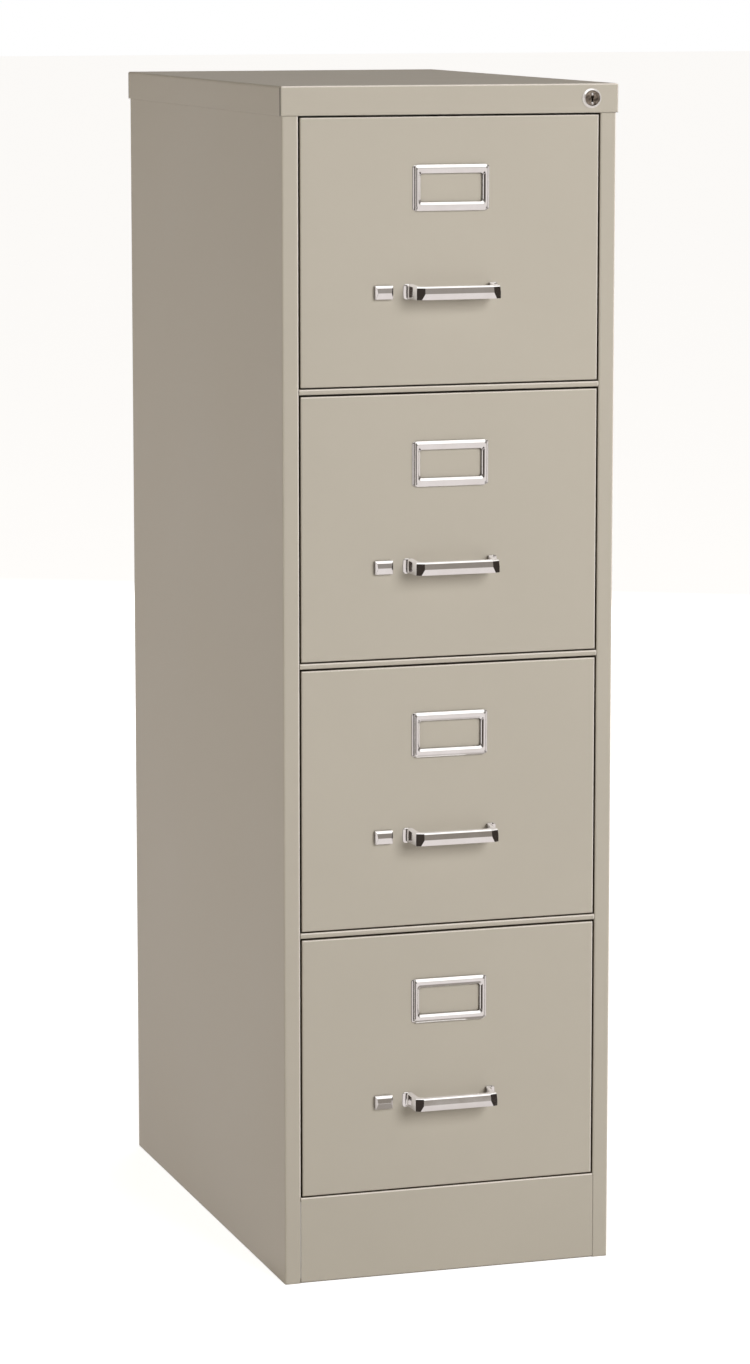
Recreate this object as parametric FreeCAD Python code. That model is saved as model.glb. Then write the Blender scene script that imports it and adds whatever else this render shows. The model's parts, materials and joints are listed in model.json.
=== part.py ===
"""Four-drawer upright filing cabinet in folded sheet steel.

Millimetres. X runs to the right of someone facing the drawers, Y from the front to the back, and Z up.
The origin is on the floor, in the middle of the whole outline, pull handles included.
Each function makes one kind of piece. Sizes stand at the top, and all places are worked out from them.
"""
import FreeCAD, Part
import math
import os

V = FreeCAD.Vector

# Case: outer sizes
case_width = 381.0
case_depth = 635.0
case_height = 1320.8
case_sheet = 1.0
bend_radius = 1.0
stile_width = 18.3
stile_return = 22.0
rear_flange = 14.0
base_height = 97.6
base_top_return = 20.0
base_foot_return = 15.0
drawer_count = 4
divider_height = 6.2
divider_depth = 24.0

# Top cap, a lid with a lip all round
cap_height = 31.75
cap_sheet = 1.2
cap_clearance = 0.3
cap_edge_radius = 2.0
cap_seam = 0.8

# Header rail behind the lip of the cap
header_lift = 1.0
header_return = 18.0

# Floor pan and the uprights that carry the slides
pan_drop = 10.0
pan_flange = 20.0
pan_setback = 24.0
upright_sheet = 1.5
upright_depth = 30.0
rear_upright_setback = 45.0

# Gaps round a drawer front in its opening
gap_side = 2.0
gap_top = 2.0
gap_bottom = 1.6

# Drawer front, a shallow pan
front_sheet = 1.0
front_depth = 18.0
front_edge_radius = 1.5

# Drawer body
body_sheet = 0.9
body_length = 575.0
body_rise = 14.0
side_height = 235.0
side_hem = 9.0
side_hem_drop = 6.0
side_foot = 10.0
back_height = 190.0
rib_width = 24.0
rib_height = 5.0
rib_start = 55.0
rib_end = 40.0

# Telescopic slides: cabinet member, middle member and drawer member, one inside the other
slide_length = 560.0
slide_setback = 34.0
slide_rise = 66.0
slide_space = 12.7
slide_travel = 540.0
outer_half_height = 22.85
outer_gauge = 1.2
outer_reach = 9.7
outer_lip = 2.6
middle_gauge = 1.2
middle_web_gap = 1.3
middle_reach = 8.2
middle_lip = 2.4
inner_gauge = 1.2
inner_reach = 7.8
ball_track = 3.4
retainer_clearance = 0.3
retainer_inset = 0.5
retainer_length = 220.0
retainer_end_gap = 12.0

# Pull handle
handle_below_top = 188.4
handle_projection = 32.0
handle_foot_half = 54.5
handle_foot_height = 17.4
handle_foot_width = 9.0
handle_foot_thickness = 2.0
handle_foot_round = 4.2
handle_flare_depth = 9.0
handle_flare_round = 8.0
handle_shoulder_half = 49.6
handle_corner_half = 48.0
handle_corner_setback = 3.6
handle_corner_round = 1.0
handle_face_half = 39.2
handle_bar_height = 14.2
handle_bar_depth = 8.0
handle_leg_inner_half = 42.5
handle_inner_round = 6.0
handle_top_bevel = 2.4
handle_upper_lean = 0.9
handle_low_bevel = 2.2
handle_ridge_drop = 0.6

# Label holder
label_below_top = 76.5
label_width = 82.2
label_height = 50.0
label_rise = 4.8
label_corner = 2.6
label_bevel = 1.2
label_mouth_width = 73.0
label_mouth_height = 31.0
label_slope = 2.0
label_wing = 2.8
label_wing_height = 47.0
label_wing_gauge = 1.0
card_slot_depth = 0.8
card_slot_width = 71.0
card_slot_height = 40.0
prong_width = 3.0
prong_gauge = 1.2
prong_length = 2.6
prong_fit = 0.2

# Thumb latch
latch_centre = 76.9
latch_width = 20.0
latch_height = 14.6
latch_projection = 7.0
latch_end_bevel = 2.4
latch_travel = 6.0
stem_width = 6.0
stem_height = 5.0
slot_fit = 0.5
running_gap = 0.3
latch_bar_gauge = 2.0
latch_bar_height = 14.0
latch_bar_end = 60.0
latch_tip_height = 10.0
latch_tip_length = 12.0
latch_tip_bevel = 1.0
latch_tip_gap = 0.5
strike_height = 12.0
strike_depth = 5.0
guide_gauge = 1.2
guide_foot = 6.0
guide_width = 12.0
latch_guide_places = (150.0, 104.0)
lug_depth = 9.5
lug_half_height = 5.0

# Bow spring that pushes the latch bar back
spring_gauge = 0.6
spring_half_height = 4.0
spring_flat = 8.0
spring_ramp = 6.0
spring_rise = 5.5
spring_setback = 12.0
anchor_gauge = 1.2
anchor_foot = 12.0
anchor_place = 24.0

# Lock at the right end of the cap's front lip
lock_inset = 29.5
lock_rim_radius = 11.0
lock_rim_height = 3.5
lock_rim_bevel = 1.2
lock_body_radius = 9.5
lock_hole_fit = 0.1
lock_body_length = 21.9
lock_nut_radius = 12.2
lock_nut_sides = 6
lock_nut_height = 3.0
plug_radius = 8.2
plug_head_length = 6.0
plug_core_radius = 6.0
plug_recess = 0.8
plug_fit = 0.05
plug_shoulder_gap = 0.3
keyway_width = 1.8
keyway_height = 8.0
keyway_depth = 5.0
cam_arm = 8.0
cam_half_width = 3.4
cam_hub = 5.4
cam_round = 1.5
cam_gauge = 2.4
cam_swing = 45.0
cam_pin_radius = 1.8
cam_pin_length = 3.0
cam_slot_fit = 0.5

# Lock bar that the cam lifts
bar_gauge = 2.0
bar_width = 10.0
bar_inset = 1.8
bar_foot_lift = 60.0
drive_plate_height = 13.0
drive_plate_inset = 4.5
lug_reach = 10.5
lug_height = 12.0
lug_rise = 120.0
lug_gap = 0.5
bar_guide_foot = 3.0
bar_guide_height_shares = (0.15, 0.88)
catch_gauge = 1.5
catch_plate_length = 16.0
catch_height = 20.0
catch_setback = 2.0
catch_reach = 10.5

# Follower that holds files upright, and its shoe on the rib
follower_half_width = 146.0
follower_height = 175.0
follower_sheet = 1.0
follower_flange = 12.0
follower_from_back = 30.0
follower_lift = 9.0
shoe_length = 80.0
shoe_wall = 4.0
shoe_roof = 3.0
shoe_fit = 0.4
follower_travel = 400.0
gusset_height = 90.0
gusset_gauge = 2.0

# A cut runs past a face by the overrun, and two points this close are one
overrun = 5.0
tolerance = 0.001

# Small rounded corners are made of this many short straight steps
corner_steps = 3

# Places worked out from the sizes
cap_proud = cap_clearance + cap_sheet
half_width = case_width / 2
face_y = -case_depth / 2 + (handle_projection - cap_proud) / 2
back_y = face_y + case_depth
cap_bottom_z = case_height - cap_height
opening_half = half_width - stile_width
opening_height = (cap_bottom_z - base_height - (drawer_count - 1) * divider_height) / drawer_count
drawer_pitch = opening_height + divider_height
front_half = opening_half - gap_side
front_height = opening_height - gap_top - gap_bottom
inner_wall_x = half_width - case_sheet
wrapper_top_z = case_height - cap_sheet
pan_top_z = base_height - pan_drop
body_half = opening_half - slide_space
body_front_y = face_y + front_depth - body_sheet
body_back_y = body_front_y + body_length
slide_start_y = face_y + slide_setback
return_end_y = face_y + stile_return
latch_bar_back_y = body_front_y - running_gap
latch_bar_front_y = latch_bar_back_y - latch_bar_gauge
cam_front_y = return_end_y + running_gap
cam_back_y = cam_front_y + cam_gauge
bar_front_y = cam_back_y + running_gap
bar_back_y = bar_front_y + bar_gauge
upright_front_y = bar_back_y + running_gap
lock_x = half_width - lock_inset
lock_z = cap_bottom_z + cap_height / 2
bar_travel = 2 * cam_arm * math.sin(math.radians(cam_swing))
bar_left_x = opening_half + bar_inset
prong_x = (label_width + label_mouth_width) / 4


def opening_floor(number):
    """Lower edge of the opening of a drawer, counted from 1 at the top."""
    return base_height + (drawer_count - number) * drawer_pitch


def front_top(number):
    """Upper edge of a drawer front."""
    return opening_floor(number) + opening_height - gap_top


def plan(z):
    """Points of an outline drawn from above, at height z."""
    return lambda u, v: V(u, v, z)


def elevation(y):
    """Points of an outline drawn from the front, at depth y."""
    return lambda u, v: V(u, y, v)


def side_view(x):
    """Points of an outline drawn from the side, at place x."""
    return lambda u, v: V(x, u, v)


def polygon_face(points, place):
    """A flat face with straight edges from corner to corner."""
    corners = [place(u, v) for u, v in points]
    return Part.Face(Part.makePolygon(corners + corners[:1]))


def softened(points, radii):
    """Outline whose corners are rounded in a few short straight steps."""
    result = []
    count = len(points)
    for index, (point, radius) in enumerate(zip(points, radii)):
        if radius <= 0:
            result.append(point)
            continue
        corner = V(*point, 0)
        before = (V(*points[index - 1], 0) - corner).normalize()
        after = (V(*points[(index + 1) % count], 0) - corner).normalize()
        half_angle = before.getAngle(after) / 2
        centre = corner + (before + after).normalize() * (radius / math.sin(half_angle))
        cut = radius / math.tan(half_angle)
        arm, last_arm = corner + before * cut - centre, corner + after * cut - centre
        turn = math.atan2(arm.x * last_arm.y - arm.y * last_arm.x, arm.dot(last_arm))
        for step in range(corner_steps + 1):
            angle = turn * step / corner_steps
            x = arm.x * math.cos(angle) - arm.y * math.sin(angle)
            y = arm.x * math.sin(angle) + arm.y * math.cos(angle)
            result.append((centre.x + x, centre.y + y))
    return result


def rounded_face(points, radii, place):
    """A flat face with an arc of the given radius at each corner, or a sharp corner where it is zero."""
    count = len(points)
    starts, ends, middles = [], [], []
    for index, (point, radius) in enumerate(zip(points, radii)):
        corner = V(point[0], point[1], 0)
        before = V(*points[index - 1], 0) - corner
        after = V(*points[(index + 1) % count], 0) - corner
        before.normalize()
        after.normalize()
        if radius <= 0:
            starts.append(corner)
            ends.append(corner)
            middles.append(None)
            continue
        half_angle = before.getAngle(after) / 2
        cut = radius / math.tan(half_angle)
        toward = (before + after).normalize()
        centre = corner + toward * (radius / math.sin(half_angle))
        starts.append(corner + before * cut)
        ends.append(corner + after * cut)
        middles.append(centre - toward * radius)
    edges = []
    for index in range(count):
        if middles[index] is not None:
            arc_points = [place(p.x, p.y) for p in (starts[index], middles[index], ends[index])]
            edges.append(Part.Arc(*arc_points).toShape())
        first, last = ends[index], starts[(index + 1) % count]
        if (last - first).Length > tolerance:
            edges.append(Part.LineSegment(place(first.x, first.y), place(last.x, last.y)).toShape())
    return Part.Face(Part.Wire(edges))


def sheet(path, gauge, radius, place, reach):
    """Folded sheet: one face follows path, and its thickness lies on the left of the way along it.

    Folds have the given inner radius. A radius of zero gives crisp folds, for small and hidden sheets.
    """
    count = len(path)
    inner, outer_radii, inner_radii = [], [], []
    for index, (u, v) in enumerate(path):
        normals = []
        for first, last in ((index - 1, index), (index, index + 1)):
            if first < 0 or last >= count:
                continue
            du, dv = path[last][0] - path[first][0], path[last][1] - path[first][1]
            length = math.hypot(du, dv)
            normals.append((-dv / length, du / length))
        if len(normals) == 1:
            inner.append((u + gauge * normals[0][0], v + gauge * normals[0][1]))
            outer_radii.append(0)
            inner_radii.append(0)
            continue
        (au, av), (bu, bv) = normals
        spread = 1 + au * bu + av * bv
        inner.append((u + gauge * (au + bu) / spread, v + gauge * (av + bv) / spread))
        turns_left = au * bv - av * bu > 0
        wide = radius + gauge if radius > 0 else 0
        outer_radii.append(wide if turns_left else radius)
        inner_radii.append(radius if turns_left else wide)
    points = list(path) + inner[::-1]
    radii = outer_radii + inner_radii[::-1]
    return rounded_face(points, radii, place).extrude(reach)


def block(x_low, x_high, y_low, y_high, z_low, z_high):
    """A box between two corners."""
    return Part.makeBox(x_high - x_low, y_high - y_low, z_high - z_low, V(x_low, y_low, z_low))


def rod(radius, start, reach):
    """A round bar from start along reach."""
    return Part.makeCylinder(radius, reach.Length, start, reach)


def mirrored(shape):
    """The same piece on the other side of the middle plane."""
    return shape.mirror(V(0, 0, 0), V(1, 0, 0))


def front_edges(shape, y):
    """Edges of a shape that lie wholly in the plane at depth y."""
    return [e for e in shape.Edges if all(abs(v.Point.y - y) < tolerance for v in e.Vertexes)]


def save(name, *shapes):
    """Writes one node, made of one or more separate solids."""
    solids = [solid for shape in shapes for solid in shape.Solids]
    node = solids[0] if len(solids) == 1 else Part.makeCompound(solids)
    node.exportStep("parts/" + name + ".step")


# Case


def left_side_panel():
    """Side, front stile with its return, and rear flange, folded from one sheet."""
    path = [
        (-half_width + rear_flange, back_y),
        (-half_width, back_y),
        (-half_width, face_y),
        (-opening_half, face_y),
        (-opening_half, return_end_y),
    ]
    return sheet(path, case_sheet, bend_radius, plan(0), V(0, 0, wrapper_top_z))


def strike_slots():
    """Slots in the left stile's return, where the latch bars hook in."""
    x_low = -opening_half - case_sheet - slot_fit
    cuts = []
    for number in range(1, drawer_count + 1):
        z = front_top(number) - handle_below_top
        cuts.append(
            block(
                x_low,
                -opening_half + slot_fit,
                latch_bar_back_y - strike_depth + running_gap,
                latch_bar_back_y + running_gap,
                z - strike_height / 2,
                z + strike_height / 2,
            )
        )
    return Part.makeCompound(cuts)


def back_panel():
    """Flat sheet inside the rear flanges."""
    half = inner_wall_x - bend_radius
    back_face = back_y - case_sheet
    return block(-half, half, back_face - case_sheet, back_face, 0, wrapper_top_z)


def cross_rail(z_low, height, top_return, low_return):
    """Folded rail between the stiles, open to the back."""
    path = [
        (face_y + top_return, z_low + height),
        (face_y, z_low + height),
        (face_y, z_low),
        (face_y + low_return, z_low),
    ]
    return sheet(path, case_sheet, bend_radius, side_view(-opening_half), V(2 * opening_half, 0, 0))


def header_rail():
    """Rail behind the lip of the cap, with the hole for the lock."""
    z_low = cap_bottom_z + header_lift
    rail = cross_rail(z_low, wrapper_top_z - z_low, header_return, header_return)
    return rail.cut(lock_hole())


def lock_hole():
    """Round hole for the lock body, through lip and header."""
    start = V(lock_x, face_y - cap_proud - overrun, lock_z)
    return rod(lock_body_radius + lock_hole_fit, start, V(0, cap_proud + case_sheet + 2 * overrun, 0))


def top_cap():
    """Lid with a lip all round, its corners slit behind the front and back lips."""
    half = half_width + cap_proud
    y_low, y_high = face_y - cap_proud, back_y + cap_proud
    outer = block(-half, half, y_low, y_high, cap_bottom_z, case_height)
    soft_edges = [e for e in outer.Edges if e.BoundBox.ZMin > cap_bottom_z]
    outer = outer.makeFillet(cap_edge_radius, soft_edges)
    gauge = cap_sheet
    inner_half, inner_low, inner_high = half - gauge, y_low + gauge, y_high - gauge
    hollow_floor, hollow_roof = cap_bottom_z - overrun, case_height - gauge
    hollow = block(-inner_half, inner_half, inner_low, inner_high, hollow_floor, hollow_roof)
    cap = outer.cut(hollow)
    seam_top = case_height - cap_edge_radius
    for edge_y in (inner_low, inner_high - cap_seam):
        slit = block(inner_half, half + overrun, edge_y, edge_y + cap_seam, hollow_floor, seam_top)
        cap = cap.cut(slit).cut(mirrored(slit))
    return cap.cut(lock_hole())


def floor_pan():
    """Pan under the lowest drawer, with its sides turned down."""
    path = [
        (inner_wall_x, pan_top_z - pan_flange),
        (inner_wall_x, pan_top_z),
        (-inner_wall_x, pan_top_z),
        (-inner_wall_x, pan_top_z - pan_flange),
    ]
    start_y = face_y + pan_setback
    length = back_y - 2 * case_sheet - start_y
    return sheet(path, case_sheet, 0, elevation(start_y), V(0, length, 0))


def upright(y_low):
    """Left post that the slides are fixed to, open towards the side panel."""
    path = [
        (-inner_wall_x, y_low),
        (-opening_half, y_low),
        (-opening_half, y_low + upright_depth),
        (-inner_wall_x, y_low + upright_depth),
    ]
    return sheet(path, upright_sheet, 0, plan(pan_top_z), V(0, 0, cap_bottom_z - pan_top_z))


def bar_guide(z):
    """Clip on the right front upright that keeps the lock bar against it."""
    left, right = bar_left_x - running_gap, bar_left_x + bar_width + running_gap
    front = bar_front_y - running_gap
    path = [
        (right + bar_guide_foot, upright_front_y),
        (right, upright_front_y),
        (right, front),
        (left, front),
        (left, upright_front_y),
    ]
    return sheet(path, guide_gauge, 0, plan(z - guide_width / 2), V(0, 0, guide_width))


def uprights():
    """Two front posts and two rear posts. The right front one carries the clips for the lock bar."""
    rear_y = back_y - rear_upright_setback - upright_depth
    front_left, rear_left = upright(upright_front_y), upright(rear_y)
    front_right = mirrored(front_left)
    for share in bar_guide_height_shares:
        front_right = front_right.fuse(bar_guide(share * case_height))
    return [front_left, front_right, rear_left, mirrored(rear_left)]


# Slides


def channel(web_x, reach, half_height, gauge, lip, z, length):
    """Slide member on the left side: a channel with its web at web_x and its flanges along reach."""
    tip_x = web_x + reach
    low, high = z - half_height, z + half_height
    path = [(tip_x, high), (web_x, high), (web_x, low), (tip_x, low)]
    if lip > 0:
        path = [(tip_x, high - lip)] + path + [(tip_x, low + lip)]
    if reach < 0:
        path = path[::-1]
    return sheet(path, gauge, 0, elevation(slide_start_y), V(0, length, 0))


def slide_height(number):
    """Height of the middle of a drawer's slides."""
    return opening_floor(number) + slide_rise


outer_web_x = -opening_half
middle_web_x = outer_web_x + outer_gauge + middle_web_gap
middle_half_height = outer_half_height - outer_gauge - ball_track
inner_half_height = middle_half_height - middle_gauge - ball_track


def cabinet_member(z):
    """Widest member, fixed to the uprights."""
    return channel(outer_web_x, outer_reach, outer_half_height, outer_gauge, outer_lip, z, slide_length)


def middle_member(z):
    """Member that travels half as far as the drawer."""
    return channel(middle_web_x, middle_reach, middle_half_height, middle_gauge, middle_lip, z, slide_length)


def drawer_member(z):
    """Narrowest member, fixed to the side of the drawer."""
    return channel(-body_half, -inner_reach, inner_half_height, inner_gauge, 0, z, slide_length)


def ball_retainers(z):
    """Strips that hold the balls: the outer pair at the member's rear, the inner pair at its front."""
    outer_low = middle_half_height + retainer_clearance
    outer_high = outer_half_height - outer_gauge - retainer_clearance
    inner_low = inner_half_height + retainer_clearance
    inner_high = middle_half_height - middle_gauge - retainer_clearance
    outer_left = outer_web_x + outer_gauge + retainer_inset
    outer_right = outer_web_x + outer_reach - outer_gauge - retainer_inset
    inner_left = middle_web_x + middle_gauge + retainer_inset
    inner_right = middle_web_x + middle_reach - middle_gauge - retainer_inset
    front_start = slide_start_y + retainer_end_gap
    rear_start = slide_start_y + slide_length - retainer_end_gap - retainer_length
    strips = []
    for left, right, low, high, start in (
        (outer_left, outer_right, outer_low, outer_high, rear_start),
        (inner_left, inner_right, inner_low, inner_high, front_start),
    ):
        end = start + retainer_length
        strips.append(block(left, right, start, end, z + low, z + high))
        strips.append(block(left, right, start, end, z - high, z - low))
    return strips


def both_sides(shapes):
    """Left pieces and their right twins."""
    return list(shapes) + [mirrored(shape) for shape in shapes]


# Drawers


def drawer_front(number):
    """Outer pan of a drawer, with its slots for the label holder's prongs and the latch."""
    z_high = front_top(number)
    z_low = z_high - front_height
    handle_z = z_high - handle_below_top
    gauge = front_sheet
    outer = block(-front_half, front_half, face_y, face_y + front_depth, z_low, z_high)
    outer = outer.makeFillet(front_edge_radius, front_edges(outer, face_y))
    hollow = block(
        -front_half + gauge,
        front_half - gauge,
        face_y + gauge,
        face_y + front_depth + overrun,
        z_low + gauge,
        z_high - gauge,
    )
    pan = outer.cut(hollow)
    before, behind = face_y - overrun, face_y + front_sheet + overrun
    half_x, half_z = prong_gauge / 2 + prong_fit, prong_width / 2 + prong_fit
    label_z = z_high - label_below_top
    for x in (-prong_x, prong_x):
        pan = pan.cut(block(x - half_x, x + half_x, before, behind, label_z - half_z, label_z + half_z))
    slot_low = -latch_centre - stem_width / 2 - slot_fit
    slot_high = -latch_centre + stem_width / 2 + latch_travel + slot_fit
    slot_half = stem_height / 2 + slot_fit
    half_tip = latch_tip_height / 2 + slot_fit
    stem_slot = block(slot_low, slot_high, before, behind, handle_z - slot_half, handle_z + slot_half)
    tip_notch = block(
        -front_half - overrun,
        -front_half + front_sheet + overrun,
        latch_bar_front_y - slot_fit,
        face_y + front_depth + overrun,
        handle_z - half_tip,
        handle_z + half_tip,
    )
    return pan.cut(stem_slot).cut(tip_notch)


def drawer_body(number):
    """Inner front wall, bottom with its rib, and back wall, folded from one sheet."""
    z_floor = opening_floor(number) + body_rise + body_sheet
    path = [
        (body_front_y, front_top(number) - front_sheet),
        (body_front_y, z_floor),
        (body_back_y, z_floor),
        (body_back_y, z_floor + back_height),
    ]
    half = body_half - body_sheet
    folded = sheet(path, body_sheet, 0, side_view(-half), V(2 * half, 0, 0))
    ear_half, ear_low = front_half - front_sheet, opening_floor(number) + gap_bottom + front_sheet
    wall_back = body_front_y + body_sheet
    ear_top = front_top(number) - front_sheet
    ear = block(-ear_half, -half, body_front_y, wall_back, ear_low, ear_top)
    folded = folded.fuse(ear).fuse(mirrored(ear))
    rib_low = z_floor + body_sheet
    rib_front, rib_back = body_front_y + rib_start, body_back_y - rib_end
    rib = block(-rib_width / 2, rib_width / 2, rib_front, rib_back, rib_low, rib_low + rib_height)
    return folded.fuse(rib)


def drawer_side(number):
    """Left side of a drawer, with a hemmed top edge for hanging files and a foot under the bottom."""
    z_low = opening_floor(number) + body_rise
    z_high = z_low + side_height
    path = [
        (-body_half + side_hem, z_high - side_hem_drop),
        (-body_half + side_hem, z_high),
        (-body_half, z_high),
        (-body_half, z_low),
        (-body_half + side_foot, z_low),
    ]
    start = body_front_y + body_sheet
    return sheet(path, body_sheet, 0, elevation(start), V(0, body_length - 2 * body_sheet, 0))


def pull_section(front, back, half_height, x, reach):
    """Bar with a bevelled top edge and two facets that both lean back from the ridge between them."""
    profile = [
        (back, -half_height),
        (back, half_height),
        (front + handle_upper_lean + handle_top_bevel, half_height),
        (front + handle_upper_lean, half_height - handle_top_bevel),
        (front, -handle_ridge_drop),
        (front + handle_low_bevel, -half_height),
    ]
    return polygon_face(profile, side_view(x)).extrude(V(reach, 0, 0))


def handle(number):
    """Chromed pull: its outlines from above, from the side and from the front, brought together."""
    front = face_y - handle_projection
    neck_y, pad_y = face_y - handle_flare_depth, face_y - handle_foot_thickness
    leg_inner = handle_foot_half - handle_foot_width
    right_half = [
        (handle_face_half, front),
        (handle_corner_half, front + handle_corner_setback),
        (handle_shoulder_half, neck_y),
        (handle_foot_half, pad_y),
        (handle_foot_half, face_y),
        (leg_inner, face_y),
        (leg_inner, pad_y),
        (handle_leg_inner_half, front + handle_bar_depth),
    ]
    right_radii = [0, handle_corner_round, handle_flare_round, 0, 0, 0, 0, handle_inner_round]
    points = right_half + [(-x, y) for x, y in right_half[::-1]]
    radii = right_radii + right_radii[::-1]
    half_foot, half_bar = handle_foot_height / 2, handle_bar_height / 2
    from_above = polygon_face(softened(points, radii), plan(-half_foot)).extrude(V(0, 0, handle_foot_height))
    bar = pull_section(front, face_y, half_bar, -handle_foot_half, 2 * handle_foot_half)
    flare = [
        (face_y, -half_foot),
        (face_y, half_foot),
        (pad_y, half_foot),
        (neck_y, half_bar),
        (neck_y, -half_bar),
        (pad_y, -half_foot),
    ]
    feet = polygon_face(flare, side_view(-handle_foot_half))
    from_side = bar.fuse(feet.extrude(V(2 * handle_foot_half, 0, 0)))
    corners = [
        (-handle_foot_half, -half_foot),
        (handle_foot_half, -half_foot),
        (handle_foot_half, half_foot),
        (-handle_foot_half, half_foot),
    ]
    outline = softened(corners, [handle_foot_round] * len(corners))
    from_front = polygon_face(outline, elevation(face_y)).extrude(V(0, -handle_projection, 0))
    pull = from_above.common(from_side).common(from_front).removeSplitter()
    pull.translate(V(0, 0, front_top(number) - handle_below_top))
    return pull


def frame_loft(half_x, half_z, shrink, y_low, y_high, z):
    """Rectangular plug that narrows by shrink on each side from y_low to y_high."""
    wires = []
    for inset, y in ((0, y_low), (shrink, y_high)):
        a, b = half_x - inset, half_z - inset
        corners = [V(-a, y, z - b), V(a, y, z - b), V(a, y, z + b), V(-a, y, z + b), V(-a, y, z - b)]
        wires.append(Part.makePolygon(corners))
    return Part.makeLoft(wires, True, True)


def label_holder(number):
    """Chromed frame with bevelled edges, a wing at each side, a card slot behind it and two prongs."""
    z = front_top(number) - label_below_top
    half_x, half_z = label_width / 2, label_height / 2
    crown = face_y - label_rise
    corners = [(-half_x, z - half_z), (half_x, z - half_z), (half_x, z + half_z), (-half_x, z + half_z)]
    outline = softened(corners, [label_corner] * len(corners))
    rim = polygon_face(outline, elevation(crown)).extrude(V(0, label_rise, 0))
    rim = rim.makeChamfer(label_bevel, front_edges(rim, crown))
    wing_half, wing_top = half_x + label_wing, label_wing_height / 2
    wings = block(-wing_half, wing_half, face_y - label_wing_gauge, face_y, z - wing_top, z + wing_top)
    mouth_x, mouth_z = label_mouth_width / 2, label_mouth_height / 2
    mouth = frame_loft(mouth_x, mouth_z, label_slope, crown, face_y - card_slot_depth, z)
    low_x, low_z = mouth_x - label_slope, mouth_z - label_slope
    window = block(-low_x, low_x, crown - overrun, face_y + overrun, z - low_z, z + low_z)
    slot_low, slot_half = z + half_z - card_slot_height, card_slot_width / 2
    slot = block(-slot_half, slot_half, face_y - card_slot_depth, face_y, slot_low, z + half_z + overrun)
    holder = rim.fuse(wings).cut(mouth).cut(window).cut(slot)
    half_gauge, low, high = prong_gauge / 2, z - prong_width / 2, z + prong_width / 2
    root, tip = face_y - card_slot_depth, face_y + prong_length
    for x in (-prong_x, prong_x):
        holder = holder.fuse(block(x - half_gauge, x + half_gauge, root, tip, low, high))
    return holder


def latch_knob(number):
    """Chromed thumb piece with hipped ends and the same facets as the pull, on a stem through the front."""
    x_low, x_high = -latch_centre - latch_width / 2, -latch_centre + latch_width / 2
    back = face_y - running_gap
    crown = back - latch_projection
    half = latch_height / 2
    knob = pull_section(crown, back, half, x_low, latch_width)
    hip_y = crown + latch_end_bevel
    outline = [
        (x_low, back),
        (x_high, back),
        (x_high, hip_y),
        (x_high - latch_end_bevel, crown),
        (x_low + latch_end_bevel, crown),
        (x_low, hip_y),
    ]
    hips = polygon_face(outline, plan(-half)).extrude(V(0, 0, latch_height))
    half_stem, half_stem_z = stem_width / 2, stem_height / 2
    left, right = -latch_centre - half_stem, -latch_centre + half_stem
    stem = block(left, right, back, latch_bar_front_y, -half_stem_z, half_stem_z)
    knob = knob.common(hips).fuse(stem)
    knob.translate(V(0, 0, front_top(number) - handle_below_top))
    return knob


def latch_bar(number):
    """Flat bar behind the drawer front, with a bevelled tip and a lug for the spring."""
    z = front_top(number) - handle_below_top
    tip_x = -opening_half + latch_tip_gap
    shoulder_x = tip_x + latch_tip_length
    half, half_tip = latch_bar_height / 2, latch_tip_height / 2
    outline = [
        (tip_x, z - half_tip),
        (shoulder_x, z - half_tip),
        (shoulder_x + (half - half_tip), z - half),
        (-latch_bar_end, z - half),
        (-latch_bar_end, z + half),
        (shoulder_x + (half - half_tip), z + half),
        (shoulder_x, z + half_tip),
        (tip_x, z + half_tip),
    ]
    flat = polygon_face(outline, elevation(latch_bar_front_y)).extrude(V(0, latch_bar_gauge, 0))
    tip_edges = [e for e in front_edges(flat, latch_bar_back_y) if e.BoundBox.XMax < tip_x + slot_fit]
    flat = flat.makeChamfer(latch_tip_bevel, tip_edges)
    lug_x = -latch_bar_end - latch_bar_gauge
    lug_front = latch_bar_back_y - lug_depth
    lug = block(lug_x, -latch_bar_end, lug_front, latch_bar_back_y, z - lug_half_height, z + lug_half_height)
    return flat.fuse(lug)


def latch_spring(number):
    """Bow of spring strip between the lug of the latch bar and its anchor."""
    z = front_top(number) - handle_below_top
    base_y = body_front_y - running_gap - spring_setback + spring_rise
    left, right = -latch_bar_end, -anchor_place
    crest = base_y - spring_rise
    path = [
        (left, base_y),
        (left + spring_flat, base_y),
        (left + spring_flat + spring_ramp, crest),
        (right - spring_flat - spring_ramp, crest),
        (right - spring_flat, base_y),
        (right, base_y),
    ]
    low = z - spring_half_height
    return sheet(path, spring_gauge, 0, plan(low), V(0, 0, 2 * spring_half_height))


def spring_anchor(z):
    """Angle on the inner wall that the spring pushes against."""
    x = -anchor_place
    path = [(x + anchor_foot, body_front_y), (x, body_front_y), (x, latch_bar_back_y - lug_depth)]
    low = z - lug_half_height
    return sheet(path, anchor_gauge, 0, plan(low), V(0, 0, 2 * lug_half_height))


def latch_guide(place, z):
    """Strap on the inner wall that the latch bar slides through."""
    half = latch_bar_height / 2 + running_gap
    front = latch_bar_front_y - running_gap
    path = [
        (body_front_y, z - half - guide_foot),
        (body_front_y, z - half),
        (front, z - half),
        (front, z + half),
        (body_front_y, z + half),
        (body_front_y, z + half + guide_foot),
    ]
    return sheet(path, guide_gauge, 0, side_view(-place - guide_width / 2), V(guide_width, 0, 0))


def lock_catch(number):
    """Angle on the right side of a drawer that the lug of the lock bar rises in front of."""
    low = opening_floor(number) + lug_rise + lug_height + bar_travel + lug_gap
    front = bar_back_y + catch_setback
    path = [(body_half, front + catch_plate_length), (body_half, front), (body_half + catch_reach, front)]
    return sheet(path, catch_gauge, 0, plan(low), V(0, 0, catch_height))


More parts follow.
